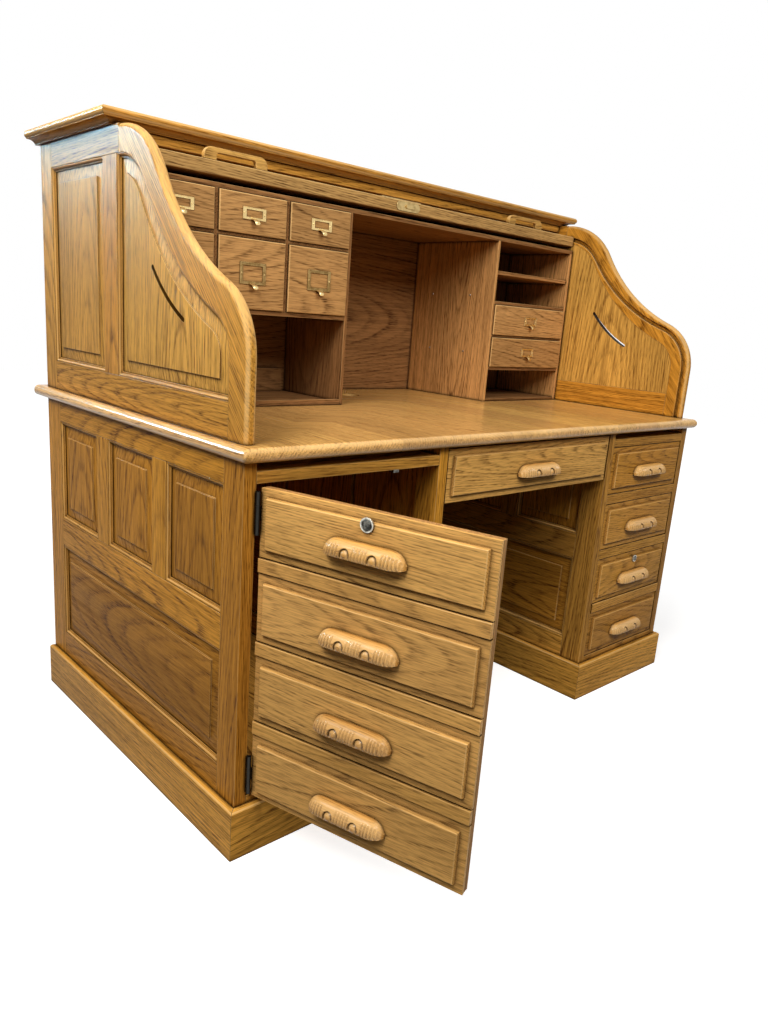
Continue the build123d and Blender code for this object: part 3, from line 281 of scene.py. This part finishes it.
materials = {
    "oak_case": oak("oak_case", OAK_LIGHT, OAK_DARK, 0.34, 0.022),
    "oak_panel": oak("oak_panel", PANEL_LIGHT, PANEL_DARK, 0.36, 0.018, ring=0.0058),
    "oak_top": oak("oak_top", TOP_LIGHT, TOP_DARK, 0.20, 0.22, ring=0.0060, stave=0.12),
    "oak_front": oak("oak_front", FRONT_LIGHT, FRONT_DARK, 0.38, 0.03, 0.0040, 0.007, 0.16),
    "oak_carved": oak("oak_carved", CARVED_LIGHT, CARVED_DARK, 0.20, 0.22, 0.0040, 0.007, 0.25),
    "oak_inside": oak("oak_inside", INSIDE_LIGHT, INSIDE_DARK, 0.50, 0.02),
    "brass": metal("brass", BRASS_LIGHT, BRASS_DARK, 0.24),
    "nickel": metal("nickel", NICKEL_LIGHT, NICKEL_DARK, 0.22),
}

# The door is drawn open; its boards are measured as if it were shut
door_joint = [j for j in frame["joints"] if j["name"] == "door_hinge"][0]
door_hinge = Vector(door_joint["pos_m"])
door_turn = radians(-door_joint["range_deg"][0])
door_swing = Matrix.Rotation(door_turn, 4, "Z")
door_shut = Matrix.Translation(door_hinge) @ door_swing @ Matrix.Translation(-door_hinge)


# Boards that are not straight: the sticking round a panel, the S-shaped stiles, the lipped top
STICKING_T = 9 * MM
STICKING_RING = 60 * MM
S_STILE_SPAN = 400 * MM
S_STILE_T = 30 * MM
S_CHORD = radians(49.0)
S_STILE_AXES = np.array(((0, cos(S_CHORD), sin(S_CHORD)), (0, -sin(S_CHORD), cos(S_CHORD)), (1, 0, 0)))
LIP_W = 16 * MM

# Where in the log a board is cut: how far along it, to the side of its heart, and above its heart
GRAIN_SHIFT = 4.0
BOARD_SPREAD = 0.09
PANEL_SPREAD = 0.03
HEART_DEPTH = (0.012, 0.06)

# Painted light and shade: lightness of some nodes, added to each board's own random tone. Lit fronts and the
# organiser's partitions are made lighter; the organiser's back, the letter drawers, the pedestal panels and the
# tambour slat behind the lift handles, which sit in shade, darker
PARTITION_PAINTED_LIGHT = 2.0
BACK_PAINTED_SHADE = -0.7
LIGHT_AND_SHADE_TONE = {"centre_drawer": 0.7, "plinths": 1.0, "door_fronts": 0.5, "door_strips": 0.5,
        "pedestal_panels": -0.6, "tambour_slat_1": -0.9}
LIGHT_AND_SHADE_TONE.update((name, -1.0) for name in nodes if name.startswith("letter_drawer"))

# How sun and hands have shifted the varnish: some pieces turned golden. The bluish tints of the fronts, desktop,
# hutch panels, lead rail, handles and letter drawers are a painted sheen of reflected light
UNCHANGED = (1.0, 1.0, 1.0)
GOLDEN = (1.0, 0.93, 0.65)
PAINTED_BLUE_SHEEN = (1.0, 1.07, 1.4)
VARNISH_TINT_AND_SHEEN = {"drawer_1": (0.98, 0.88, 0.50), "drawer_2": GOLDEN, "file_drawer": GOLDEN,
        "left_pedestal_frames": GOLDEN, "pedestal_panels": GOLDEN, "right_hutch_frame": GOLDEN,
        "door_fronts": (1.04, 1.06, 1.15), "desktop": (1.06, 1.13, 1.35),
        "hutch_panels": (0.97, 1.04, 1.25), "lead_rail": (1.0, 1.25, 2.4),
        "lift_handles": (1.0, 1.15, 1.8)}
VARNISH_TINT_AND_SHEEN.update((name, PAINTED_BLUE_SHEEN) for name in nodes if name.startswith("letter_drawer"))

# The walls of the curved slots in the S panels are painted near black; y and z in the desk's own coordinates
SLOT_WAY = (Vector((0.357, 1.040)), Vector((0.303, 0.989)), Vector((0.240, 0.951)))
SLOT_REACH = 8 * MM
SLOT_TINT = (0.10, 0.08, 0.06)
FLAT_ON = 0.9

# A face that looks along no axis is part of a rounded edge, and painted paler: partly wear, partly a painted
# highlight
ROUND_FROM = 0.985
ROUND_FADE = 0.12


def islands(mesh):
    """A label per vertex: vertices of one connected board share a label."""
    count = len(mesh.vertices)
    ends = np.zeros(len(mesh.edges) * 2, np.int32)
    mesh.edges.foreach_get("vertices", ends)
    a, b = ends.reshape(-1, 2).T
    label = np.arange(count)
    while True:
        low = np.minimum(label[a], label[b])
        fresh = label.copy()
        np.minimum.at(fresh, a, low)
        np.minimum.at(fresh, b, low)
        fresh = fresh[fresh]
        if (fresh == label).all():
            return label
        label = fresh


def corner_places(mesh, shut):
    """Places of the face corners, with the door's pieces swung shut, and their face numbers."""
    co = np.zeros(len(mesh.vertices) * 3)
    mesh.vertices.foreach_get("co", co)
    co = co.reshape(-1, 3)
    if shut:
        turn = np.array(door_shut)
        co = co @ turn[:3, :3].T + turn[:3, 3]
    corner = np.zeros(len(mesh.loops), np.int32)
    mesh.loops.foreach_get("vertex_index", corner)
    face = np.repeat(np.arange(len(mesh.polygons)), [p.loop_total for p in mesh.polygons])
    return co, corner, face


def face_lengthwise(mesh, co):
    """For each face the direction of its longest edge."""
    lengthwise = np.zeros((len(mesh.polygons), 3))
    for poly in mesh.polygons:
        ring = co[list(poly.vertices)]
        edges = np.roll(ring, -1, 0) - ring
        longest = edges[np.argmax((edges ** 2).sum(1))]
        lengthwise[poly.index] = longest / max(np.linalg.norm(longest), 1e-9)
    return lengthwise


def axes_of(low, high, grain):
    """Directions along, across and through a straight board, from its box."""
    order = list(np.argsort(low - high))
    if grain is not None:
        order.remove(grain)
        order.insert(0, grain)
    return np.eye(3)[order]


def measure_boards(mesh, seed, shut=False, grain=None, spread=BOARD_SPREAD):
    """Write each board's own coordinates, grain first, and its looks as attributes of the mesh."""
    co, corner, face = corner_places(mesh, shut)
    label = islands(mesh)[corner]
    places = co[corner]
    lengthwise = None
    rng = np.random.default_rng(zlib.crc32(seed.encode()))
    board = np.zeros_like(places)
    tone = np.zeros(len(places))
    for one in np.unique(label):
        mine = label == one
        low, high = places[mine].min(0), places[mine].max(0)
        size = high - low
        local = places[mine] - (low + high) / 2
        shift = [rng.uniform(-far, far) for far in (GRAIN_SHIFT, spread)]
        shift.append(rng.uniform(*HEART_DEPTH))
        if size[0] < STICKING_T and min(size[1], size[2]) > STICKING_RING:
            lengthwise = face_lengthwise(mesh, co) if lengthwise is None else lengthwise
            along = lengthwise[face[mine]]
            through = np.broadcast_to((1.0, 0.0, 0.0), along.shape)
            across = np.cross(through, along)
            local = np.stack([(local * axis).sum(1) for axis in (along, across, through)], 1)
        elif min(size[1], size[2]) > S_STILE_SPAN and size[0] < S_STILE_T and "frame" in seed:
            local = local @ S_STILE_AXES.T
        else:
            local = local @ axes_of(low, high, grain).T
        if seed == "desktop":
            lipped = np.abs(local[:, 0]) > size[0] / 2 - LIP_W
            local[lipped] = local[lipped][:, (1, 0, 2)]
        board[mine] = local + shift
        own = rng.uniform(0, 1)
        # The organiser's partitions get painted light, its back painted shade
        if seed == "organiser_case":
            upright = size.argmin() == 0 and low[0] > 0
            own = PARTITION_PAINTED_LIGHT if upright else BACK_PAINTED_SHADE
        tone[mine] = own + LIGHT_AND_SHADE_TONE.get(seed, 0.0)
    write_attribute(mesh, "board", "FLOAT_VECTOR", "vector", board)
    write_attribute(mesh, "tone", "FLOAT", "value", tone)
    mark_faces(mesh, seed, face)


def mark_faces(mesh, seed, face):
    """Write how far each face is painted pale, for wear and a painted highlight, and the tint of its varnish with
    its painted sheen.
    """
    normal = np.zeros(len(mesh.polygons) * 3)
    mesh.polygons.foreach_get("normal", normal)
    normal = normal.reshape(-1, 3)
    rubbed = np.clip((ROUND_FROM - np.abs(normal).max(1)) / ROUND_FADE, 0, 1)
    tint = np.tile(VARNISH_TINT_AND_SHEEN.get(seed, UNCHANGED), (len(rubbed), 1))
    if seed == "hutch_panels":
        walls = slot_walls(mesh, normal)
        rubbed[walls] = 0.0
        tint[walls] = SLOT_TINT
    write_attribute(mesh, "rubbed", "FLOAT", "value", rubbed[face])
    write_attribute(mesh, "tint", "FLOAT_VECTOR", "vector", tint[face])


def slot_walls(mesh, normal):
    """Which faces of the S panels line their curved slots."""
    walls = np.abs(normal[:, 0]) < FLAT_ON
    for poly in mesh.polygons:
        if walls[poly.index]:
            here = Vector((poly.center.y - DESK_Y, poly.center.z))
            legs = zip(SLOT_WAY, SLOT_WAY[1:])
            near = min((intersect_point_line(here, *leg)[0] - here).length for leg in legs)
            along = SLOT_WAY[-1].x - SLOT_REACH < here.x < SLOT_WAY[0].x + SLOT_REACH
            walls[poly.index] = near < SLOT_REACH and along
    return walls


def write_attribute(mesh, name, kind, field, values):
    mesh.attributes.new(name, kind, "CORNER").data.foreach_set(field, values.astype(np.float32).ravel())


def final_mesh(obj):
    """The object's mesh with its modifiers applied, as a new mesh."""
    bpy.context.view_layer.update()
    seen = obj.evaluated_get(bpy.context.evaluated_depsgraph_get())
    return bpy.data.meshes.new_from_object(seen)


def new_object(name, mesh):
    obj = bpy.data.objects.new(name, mesh)
    bpy.context.scene.collection.objects.link(obj)
    return obj


def wear(obj, mesh):
    """Give the object another mesh and drop its modifiers."""
    obj.modifiers.clear()
    obj.data = mesh


# Softened edges
WELD = 0.01 * MM
SAME_PLANE = radians(0.4)
EASE_ANGLE = radians(30)
EASE_STEPS = 2
SHARP_ANGLE = radians(46)


def eased(node, width):
    """A copy of a CAD node with its sharp edges rounded off by the given width."""
    obj = new_object(node + ".eased", nodes[node].data.copy())
    obj.modifiers.new("weld", "WELD").merge_threshold = WELD
    flat = obj.modifiers.new("flat", "DECIMATE")
    flat.decimate_type = "DISSOLVE"
    flat.angle_limit = SAME_PLANE
    bevel = obj.modifiers.new("ease", "BEVEL")
    bevel.width = width
    bevel.segments = EASE_STEPS
    bevel.limit_method = "ANGLE"
    bevel.angle_limit = EASE_ANGLE
    wear(obj, final_mesh(obj))
    obj.data.shade_smooth()
    obj.data.set_sharp_from_angle(angle=SHARP_ANGLE)
    obj.modifiers.new("normals", "WEIGHTED_NORMAL").keep_sharp = True
    wear(obj, final_mesh(obj))
    return obj


def plug_corners(mesh):
    """Which face corners of a round lock belong to its plug."""
    co, corner, _ = corner_places(mesh, False)
    off = co[corner] - (co.min(0) + co.max(0)) / 2
    reach = np.hypot(np.hypot(off[:, 0], off[:, 1]), off[:, 2])
    return reach < PLUG_PART * reach.max()


def dress(obj, node, slot):
    """The piece stands for the node, rides on its body and takes its slot's material."""
    obj.data.materials.clear()
    obj.data.materials.append(materials[slot])
    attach(obj, node_body[node])
    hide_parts(node)


EASE = {"brass": 0.25 * MM, "nickel": 0.25 * MM, "oak_inside": 0.8 * MM}
WOOD_EASE = 1.1 * MM

# Old metal: how dull each fitting is; the round locks have a bright rim and a dull plug. The hinge leaves are
# fully dull:
# partly tarnish, partly painted shade of the gaps they sit in
TARNISH_AND_SHADE = {"post_hinge_leaves": 1.0, "door_hinge_leaves": 1.0, "door_catch": 0.7, "tambour_lock": 0.45,
           "door_lock": 0.05, "file_drawer_lock": 0.05}
ROUND_LOCKS = ("door_lock", "file_drawer_lock")
PLUG_PART = 0.72
PLUG_TARNISH = 0.8

# The grain of the hutch panels runs up, along the third axis
GRAIN_UP = 2

# Nodes that are drawn anew further down
PULLS = ("drawer_1_pull", "drawer_2_pull", "file_drawer_pulls", "centre_drawer_pull", "door_pulls")
LETTER_PULLS = tuple(name for name in nodes if name.startswith("letter_drawer") and name.endswith("_pull"))
for node in nodes:
    if node in PULLS or node in LETTER_PULLS:
        continue
    slot = node_slot[node]
    piece = eased(node, EASE.get(slot, WOOD_EASE))
    shut = node_body[node] == "cabinet_door"
    grain = GRAIN_UP if node == "hutch_panels" else None
    spread = PANEL_SPREAD if slot == "oak_panel" else BOARD_SPREAD
    measure_boards(piece.data, node, shut, grain, spread)
    tarnish = np.full(len(piece.data.loops), TARNISH_AND_SHADE.get(node, 0.0))
    if node in ROUND_LOCKS:
        tarnish[plug_corners(piece.data)] = PLUG_TARNISH
    write_attribute(piece.data, "tarnish", "FLOAT", "value", tarnish)
    dress(piece, node, slot)


SKIN_SHARP = radians(60)


def grid_mesh(name, rows):
    """A closed skin over rows of points; the rows are rings, and both ends are capped."""
    count = len(rows[0])
    verts = [tuple(p) for row in rows for p in row]
    faces = []
    for i in range(len(rows) - 1):
        for j in range(count):
            k = (j + 1) % count
            faces.append((i * count + j, i * count + k, (i + 1) * count + k, (i + 1) * count + j))
    faces.append(tuple(reversed(range(count))))
    faces.append(tuple(range((len(rows) - 1) * count, len(rows) * count)))
    mesh = bpy.data.meshes.new(name)
    mesh.from_pydata(verts, [], faces)
    bm = bmesh.new()
    bm.from_mesh(mesh)
    bmesh.ops.recalc_face_normals(bm, faces=bm.faces)
    bm.to_mesh(mesh)
    bm.free()
    mesh.shade_smooth()
    mesh.set_sharp_from_angle(angle=SKIN_SHARP)
    return mesh


# Carved pulls, drawn with the drawer's face at y = 0 and the front towards minus y
PULL_LEN = 150 * MM
PULL_H = 26.5 * MM
PULL_D = 25.5 * MM
PULL_END = 32 * MM
ARCH_X = 25 * MM
ARCH_Z = -6.5 * MM
ARCH_R = 8.6 * MM
ARCH_RIM = 1.2 * MM
ARCH_DEEP = 4.0 * MM
RIB_PITCH = 5.8 * MM
RIB_DEEP = 2.4 * MM
RIB_FROM = 35 * MM
RIB_FADE = 6 * MM
MIDDLE_RIBS_X = 15 * MM
MIDDLE_RIBS = 0.8

# The section, as parts of its depth and height: a round top over a nose, and a finger groove below
TOP_DROP = 0.84
NOSE = ((0.99, -0.42), (0.93, -0.5))
GROOVE_OUT = 0.61
GROOVE_R = 0.30
GROOVE_STEPS = 9

# How the section shrinks towards the ends: power of the curve, and the least part that is left
END_DEEP = (2.4, 0.14)
END_TALL = (2.6, 0.30)

# The carving reaches this far round the section, as parts of the depth and height
CARVED_FROM = 0.62
CARVED_FADE = 0.2
UNDERSIDE = -0.49

# The drawn pull stays just inside its solid
INSIDE_LEN = 0.998
INSIDE_DEEP = 0.98


def pull_section(count=48):
    """Section of a pull as fractions of its depth and height: a swelling top, hollow under for fingers."""
    points = []
    for i in range(count):
        a = pi / 2 * i / (count - 1)
        points.append((sin(a), 0.5 - TOP_DROP * (1 - cos(a))))
    points.extend(NOSE)
    for i in range(1, GROOVE_STEPS):
        a = pi * i / GROOVE_STEPS
        points.append((GROOVE_OUT + GROOVE_R * cos(a), -0.5 + GROOVE_R * sin(a)))
    points.append((GROOVE_OUT - GROOVE_R, -0.5))
    points.append((0.0, -0.5))
    return points


def scoop(x, z):
    """Depth of the two arched gouge cuts: deepest along their rims, with a steep wall outside."""
    off = abs(abs(x) - ARCH_X)
    reach = sqrt(off * off + max(z - ARCH_Z, 0.0) ** 2)
    wall = min(1.0, max(0.0, (ARCH_R + ARCH_RIM - reach) / ARCH_RIM))
    return ARCH_DEEP * min(1.0, reach / ARCH_R) ** 2 * wall


def round_off(past, power, least):
    """How full the section still is, past the start of a rounded end."""
    return max(least, (1 - past ** power) ** 0.5 if past < 1 else 0.0)


def pull_rows(slices=170):
    """Rings of points along a carved pull."""
    section = pull_section()
    rows = []
    for i in range(slices + 1):
        x = PULL_LEN * (i / slices - 0.5) * INSIDE_LEN
        past = max(0.0, abs(x) - (PULL_LEN / 2 - PULL_END)) / PULL_END
        deep = round_off(past, *END_DEEP)
        tall = round_off(past, *END_TALL)
        rib = 0.5 + 0.5 * cos(2 * pi * x / RIB_PITCH)
        ribbed = min(1.0, max(0.0, (abs(x) - RIB_FROM) / RIB_FADE))
        ribbed += MIDDLE_RIBS * (abs(x) < MIDDLE_RIBS_X)
        row = []
        for out, up in section:
            z = PULL_H * (-0.5 + (up + 0.5) * tall)
            front = min(1.0, max(0.0, (out - CARVED_FROM) / CARVED_FADE)) * (up > UNDERSIDE)
            cut = front * (scoop(x, z) + RIB_DEEP * rib * ribbed)
            row.append((x, -max(PULL_D * out * deep * INSIDE_DEEP - cut, 0.0), z))
        rows.append(row)
    return rows


def island_boxes(node):
    """Low and high corner of the box round each solid of a node, the door's taken as shut."""
    mesh = nodes[node].data.copy()
    bm = bmesh.new()
    bm.from_mesh(mesh)
    bmesh.ops.remove_doubles(bm, verts=bm.verts, dist=WELD)
    bm.to_mesh(mesh)
    bm.free()
    co, _, _ = corner_places(mesh, node_body[node] == "cabinet_door")
    label = islands(mesh)
    boxes = [(co[label == one].min(0), co[label == one].max(0)) for one in np.unique(label)]
    bpy.data.meshes.remove(mesh)
    return boxes


def carve_pulls(node):
    """Rebuild a node's pulls with ribs, thumb cuts and soft ends."""
    bm = bmesh.new()
    for number, (low, high) in enumerate(island_boxes(node)):
        pull = grid_mesh("pull", pull_rows())
        centre = Vector(((low[0] + high[0]) / 2, high[1], (low[2] + high[2]) / 2))
        pull.transform(Matrix.Translation(centre))
        measure_boards(pull, node + str(number))
        if node_body[node] == "cabinet_door":
            pull.transform(door_shut.inverted())
        bm.from_mesh(pull)
        bpy.data.meshes.remove(pull)
    mesh = bpy.data.meshes.new(node + ".carved")
    bm.to_mesh(mesh)
    bm.free()
    dress(new_object(node + ".carved", mesh), node, node_slot[node])


for node in PULLS:
    carve_pulls(node)


# Card frames: a flat brass frame with raised rims, two screws and a curled finger hook
LOW_WINDOW = (0.70, 0.58)
TALL_WINDOW = (0.76, 0.70)
TALL_FRAME_H = 46 * MM
LOW_FRAME_H = 25 * MM
HOOK_WAY = ((0.4, 2.5), (2.2, 1.4), (5.5, 0.2), (9.5, -1.4))
HOOK_WAY += ((13.2, -4.2), (15.0, -7.4), (14.2, -9.4), (12.0, -9.2))
HOOK_W = 17 * MM
HOOK_T = 0.9 * MM
HOOK_RIM = ((-1.0, 0.0), (-0.7, 1.0), (0.7, 1.0), (1.0, 0.0), (0.7, -1.0), (-0.7, -1.0))
SCREW_R = 1.9 * MM
SCREW_LIFT = 1.0 * MM
SCREW_SEAT = 1.3 * MM
SCREW_TARNISH = 0.3
TALL_TARNISH = 0.8
DOME_RINGS = 5
DOME_SIDES = 16

# Rims across a frame, from its outer edge to its window: part of the way, and height in millimetres
LOW_RIMS = [(0.0, 1.3), (0.06, 1.7), (0.2, 1.7), (0.28, 1.35)]
LOW_RIMS += [(0.72, 1.35), (0.8, 1.7), (0.94, 1.7), (1.0, 1.3)]
TALL_RIMS = [(0.0, 1.6), (0.1, 2.0), (0.3, 2.0), (0.4, 0.9)]
TALL_RIMS += [(0.66, 0.9), (0.76, 1.9), (0.92, 1.9), (1.0, 1.3)]


def frame_mesh(w, h, window, rims):
    """A closed rectangular frame; rims lists (part of the way to the window, height)."""
    inner_w, inner_h = w * window[0], h * window[1]
    rows = []
    for part, lift in [(0.0, 0.0)] + rims + [(1.0, 0.0)]:
        a = w / 2 + (inner_w - w) / 2 * part
        b = h / 2 + (inner_h - h) / 2 * part
        rows.append([(-a, -lift * MM, -b), (a, -lift * MM, -b), (a, -lift * MM, b), (-a, -lift * MM, b)])
    verts = [p for row in rows for p in row]
    faces = []
    for i in range(len(rows)):
        k = (i + 1) % len(rows)
        for j in range(4):
            n = (j + 1) % 4
            faces.append((i * 4 + j, i * 4 + n, k * 4 + n, k * 4 + j))
    mesh = bpy.data.meshes.new("card_frame")
    mesh.from_pydata(verts, [], faces)
    return mesh


def hook_mesh():
    """A curled tongue of sheet brass, wide at the frame and round at the tip."""
    rows = []
    last = len(HOOK_WAY) - 1
    for i, (out, up) in enumerate(HOOK_WAY):
        before, after = HOOK_WAY[max(i - 1, 0)], HOOK_WAY[min(i + 1, last)]
        way = Vector((after[0] - before[0], after[1] - before[1])).normalized()
        side = Vector((-way.y, way.x)) * HOOK_T
        half = HOOK_W / 2 * (1.0 - 0.5 * (i / last) ** 1.5)
        here = Vector((out, up)) * MM
        row = []
        for wide, lift in HOOK_RIM:
            p = here + side * lift
            row.append((wide * half, -p.x, p.y))
        rows.append(row)
    return grid_mesh("hook", rows)


def dome_mesh(radius, lift):
    """A low round screw or pin head that looks to the front."""
    rows = []
    turns = [2 * pi * i / DOME_SIDES for i in range(DOME_SIDES)]
    for i in range(DOME_RINGS):
        a = pi / 2 * i / (DOME_RINGS - 0.4)
        r = radius * cos(a)
        rows.append([(r * cos(turn), -lift * sin(a), r * sin(turn)) for turn in turns])
    return grid_mesh("head", rows)


def brass_pull(node):
    """Rebuild a small drawer's card frame."""
    low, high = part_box(node)
    w = high.x - low.x
    tall = high.z - low.z > TALL_FRAME_H
    h = TALL_FRAME_H if tall else LOW_FRAME_H
    window = TALL_WINDOW if tall else LOW_WINDOW
    rims = TALL_RIMS if tall else LOW_RIMS
    bm = bmesh.new()
    parts = [(frame_mesh(w, h, window, rims), TALL_TARNISH if tall else 0.0)]
    hook = hook_mesh()
    hook.transform(Matrix.Translation((0.0, 0.0, -h / 2)))
    parts.append((hook, 0.0))
    for side in (-1, 1):
        screw = dome_mesh(SCREW_R, SCREW_LIFT)
        screw.transform(Matrix.Translation((side * w * (1 + window[0]) / 4, -SCREW_SEAT, 0.0)))
        parts.append((screw, SCREW_TARNISH))
    for mesh, tarnish in parts:
        write_attribute(mesh, "tarnish", "FLOAT", "value", np.full(len(mesh.loops), tarnish))
        bm.from_mesh(mesh)
        bpy.data.meshes.remove(mesh)
    bmesh.ops.recalc_face_normals(bm, faces=bm.faces)
    mesh = bpy.data.meshes.new(node + ".brass")
    bm.to_mesh(mesh)
    bm.free()
    mesh.transform(Matrix.Translation(((low.x + high.x) / 2, high.y, high.z - h / 2)))
    dress(new_object(node + ".brass", mesh), node, node_slot[node])


for node in LETTER_PULLS:
    brass_pull(node)


# Bright sleeves for shelf pins in the right partition, millimetres in the desk's own coordinates
PARTITION_X = 360.0
PIN_PLACES = ((704.0, 1063.0), (552.0, 1063.0), (699.0, 900.0), (560.0, 900.0))
PIN_R = 3.2 * MM
PIN_LIFT = 1.0 * MM


def pin_heads():
    """Round metal sleeves in the face of the right partition."""
    for number, (y, z) in enumerate(PIN_PLACES):
        head = dome_mesh(PIN_R, PIN_LIFT)
        head.transform(Matrix.Rotation(radians(-90), 4, "Z"))
        head.transform(Matrix.Translation((PARTITION_X * MM, y * MM + DESK_Y, z * MM)))
        write_attribute(head, "tarnish", "FLOAT", "value", np.zeros(len(head.loops)))
        obj = new_object("pin_head_%d" % (number + 1), head)
        head.materials.append(materials["nickel"])
        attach(obj, "carcass")


pin_heads()


# Stage: pale floor, soft light and the photograph's view
FLOOR_PALE = (0.93, 0.93, 0.93)
FLOOR_BOUNCE = (0.10, 0.09, 0.08)
FLOOR_GLOW = 0.58
FLOOR_FAR_GLOW = 1.0
GLOW_NEAR = 1.1
GLOW_FAR = 2.2
FLOOR_HALF = 9.0
ROOM_LIGHT = 0.10

# Lamps: place, target, size, watts and colour. The window only glares on the head of the left hutch end
LAMPS = {
    "key": ((-2.4, -0.9, 2.7), (-0.5, -0.2, 0.7), (1.1, 1.1), 60, (1.0, 0.97, 0.93)),
    "side": ((-1.5, 0.2, 2.4), (-0.7, 0.15, 1.1), (0.8, 0.8), 18, (1.0, 0.98, 0.95)),
    "front": ((-0.3, -2.4, 2.7), (0.0, 0.0, 0.7), (1.6, 1.0), 60, (1.0, 0.98, 0.95)),
    "window": ((-1.78, 2.31, 1.95), (-0.74, 0.33, 1.32), (0.95, 0.9), 7.5, (0.35, 0.72, 1.0)),
}
WINDOW_SPREAD = radians(20)


def stage_floor():
    """A pale floor that shows white to the camera and in mirrors, and keeps the desk's shadow."""
    bm = bmesh.new()
    bmesh.ops.create_grid(bm, x_segments=1, y_segments=1, size=FLOOR_HALF)
    mesh = bpy.data.meshes.new("floor")
    bm.to_mesh(mesh)
    bm.free()
    floor = new_object("floor", mesh)
    t = Tree("pale_floor")
    path = t.nodes.new("ShaderNodeLightPath").outputs
    mirrored = t.math("MAXIMUM", path["Is Glossy Ray"], path["Is Transmission Ray"])
    seen = t.math("MAXIMUM", path["Is Camera Ray"], mirrored)
    t.put(t.shader.inputs["Base Color"], t.mix(seen, FLOOR_BOUNCE, FLOOR_PALE))
    t.shader.inputs["Roughness"].default_value = 0.7
    t.shader.inputs["Specular IOR Level"].default_value = 0.0
    t.shader.inputs["Emission Color"].default_value = (1.0, 1.0, 1.0, 1.0)
    reach = t.nodes.new("ShaderNodeVectorMath")
    reach.operation = "LENGTH"
    t.put(reach.inputs[0], t.position())
    glow = t.span(reach.outputs["Value"], GLOW_NEAR, GLOW_FAR, FLOOR_GLOW, FLOOR_FAR_GLOW)
    t.put(t.shader.inputs["Emission Strength"], t.math("MULTIPLY", seen, glow))
    floor.data.materials.append(t.material)


def area_light(name, at, target, size, power, colour):
    """A rectangular lamp that looks at its target."""
    lamp = bpy.data.lights.new(name, "AREA")
    lamp.shape = "RECTANGLE"
    lamp.size, lamp.size_y = size
    lamp.energy = power
    lamp.color = colour
    obj = new_object(name, lamp)
    obj.location = at
    obj.rotation_euler = (Vector(target) - Vector(at)).to_track_quat("-Z", "Y").to_euler()
    return obj


def pale_room():
    """A dim room that shows white to the camera and in mirrors."""
    world = bpy.data.worlds.new("pale_room")
    world.use_nodes = True
    tree = world.node_tree
    back = tree.nodes["Background"]
    path = tree.nodes.new("ShaderNodeLightPath").outputs
    seen = path["Is Camera Ray"]
    for kind in ("Is Glossy Ray", "Is Transmission Ray"):
        either = tree.nodes.new("ShaderNodeMath")
        either.operation = "MAXIMUM"
        tree.links.new(seen, either.inputs[0])
        tree.links.new(path[kind], either.inputs[1])
        seen = either.outputs[0]
    strength = tree.nodes.new("ShaderNodeMapRange")
    strength.inputs["To Min"].default_value = ROOM_LIGHT
    strength.inputs["To Max"].default_value = 1.0
    tree.links.new(seen, strength.inputs["Value"])
    tree.links.new(strength.outputs[0], back.inputs["Strength"])
    back.inputs["Color"].default_value = (1.0, 1.0, 1.0, 1.0)
    bpy.context.scene.world = world


def light_lamps():
    lamps = {name: area_light(name, *lamp) for name, lamp in LAMPS.items()}
    lamps["window"].data.spread = WINDOW_SPREAD
    lamps["window"].visible_diffuse = False


def photo_camera():
    """The camera that took the photograph: its place, turn, lens and off-centre picture."""
    yaw, pitch, roll = radians(CAMERA_YAW), radians(CAMERA_PITCH), radians(CAMERA_ROLL)
    forward = Vector((sin(yaw) * cos(pitch), cos(yaw) * cos(pitch), sin(pitch)))
    level = Vector((cos(yaw), -sin(yaw), 0.0))
    upright = level.cross(forward)
    right = level * cos(roll) + upright * sin(roll)
    up = upright * cos(roll) - level * sin(roll)
    camera = bpy.data.cameras.new("photo_camera")
    camera.sensor_fit = "HORIZONTAL"
    camera.sensor_width = SENSOR
    camera.lens = SENSOR * CAMERA_FOCAL_PX / IMAGE_W
    camera.shift_x = 0.5 - CAMERA_CENTRE_PX / IMAGE_W
    obj = new_object("photo_camera", camera)
    place = Matrix((right, up, -forward)).transposed().to_4x4()
    place.translation = Vector(CAMERA_AT) * MM + Vector((0.0, DESK_Y, 0.0))
    obj.matrix_world = place
    bpy.context.scene.camera = obj


stage_floor()
pale_room()
light_lamps()
photo_camera()
bpy.context.scene.view_settings.view_transform = "Standard"
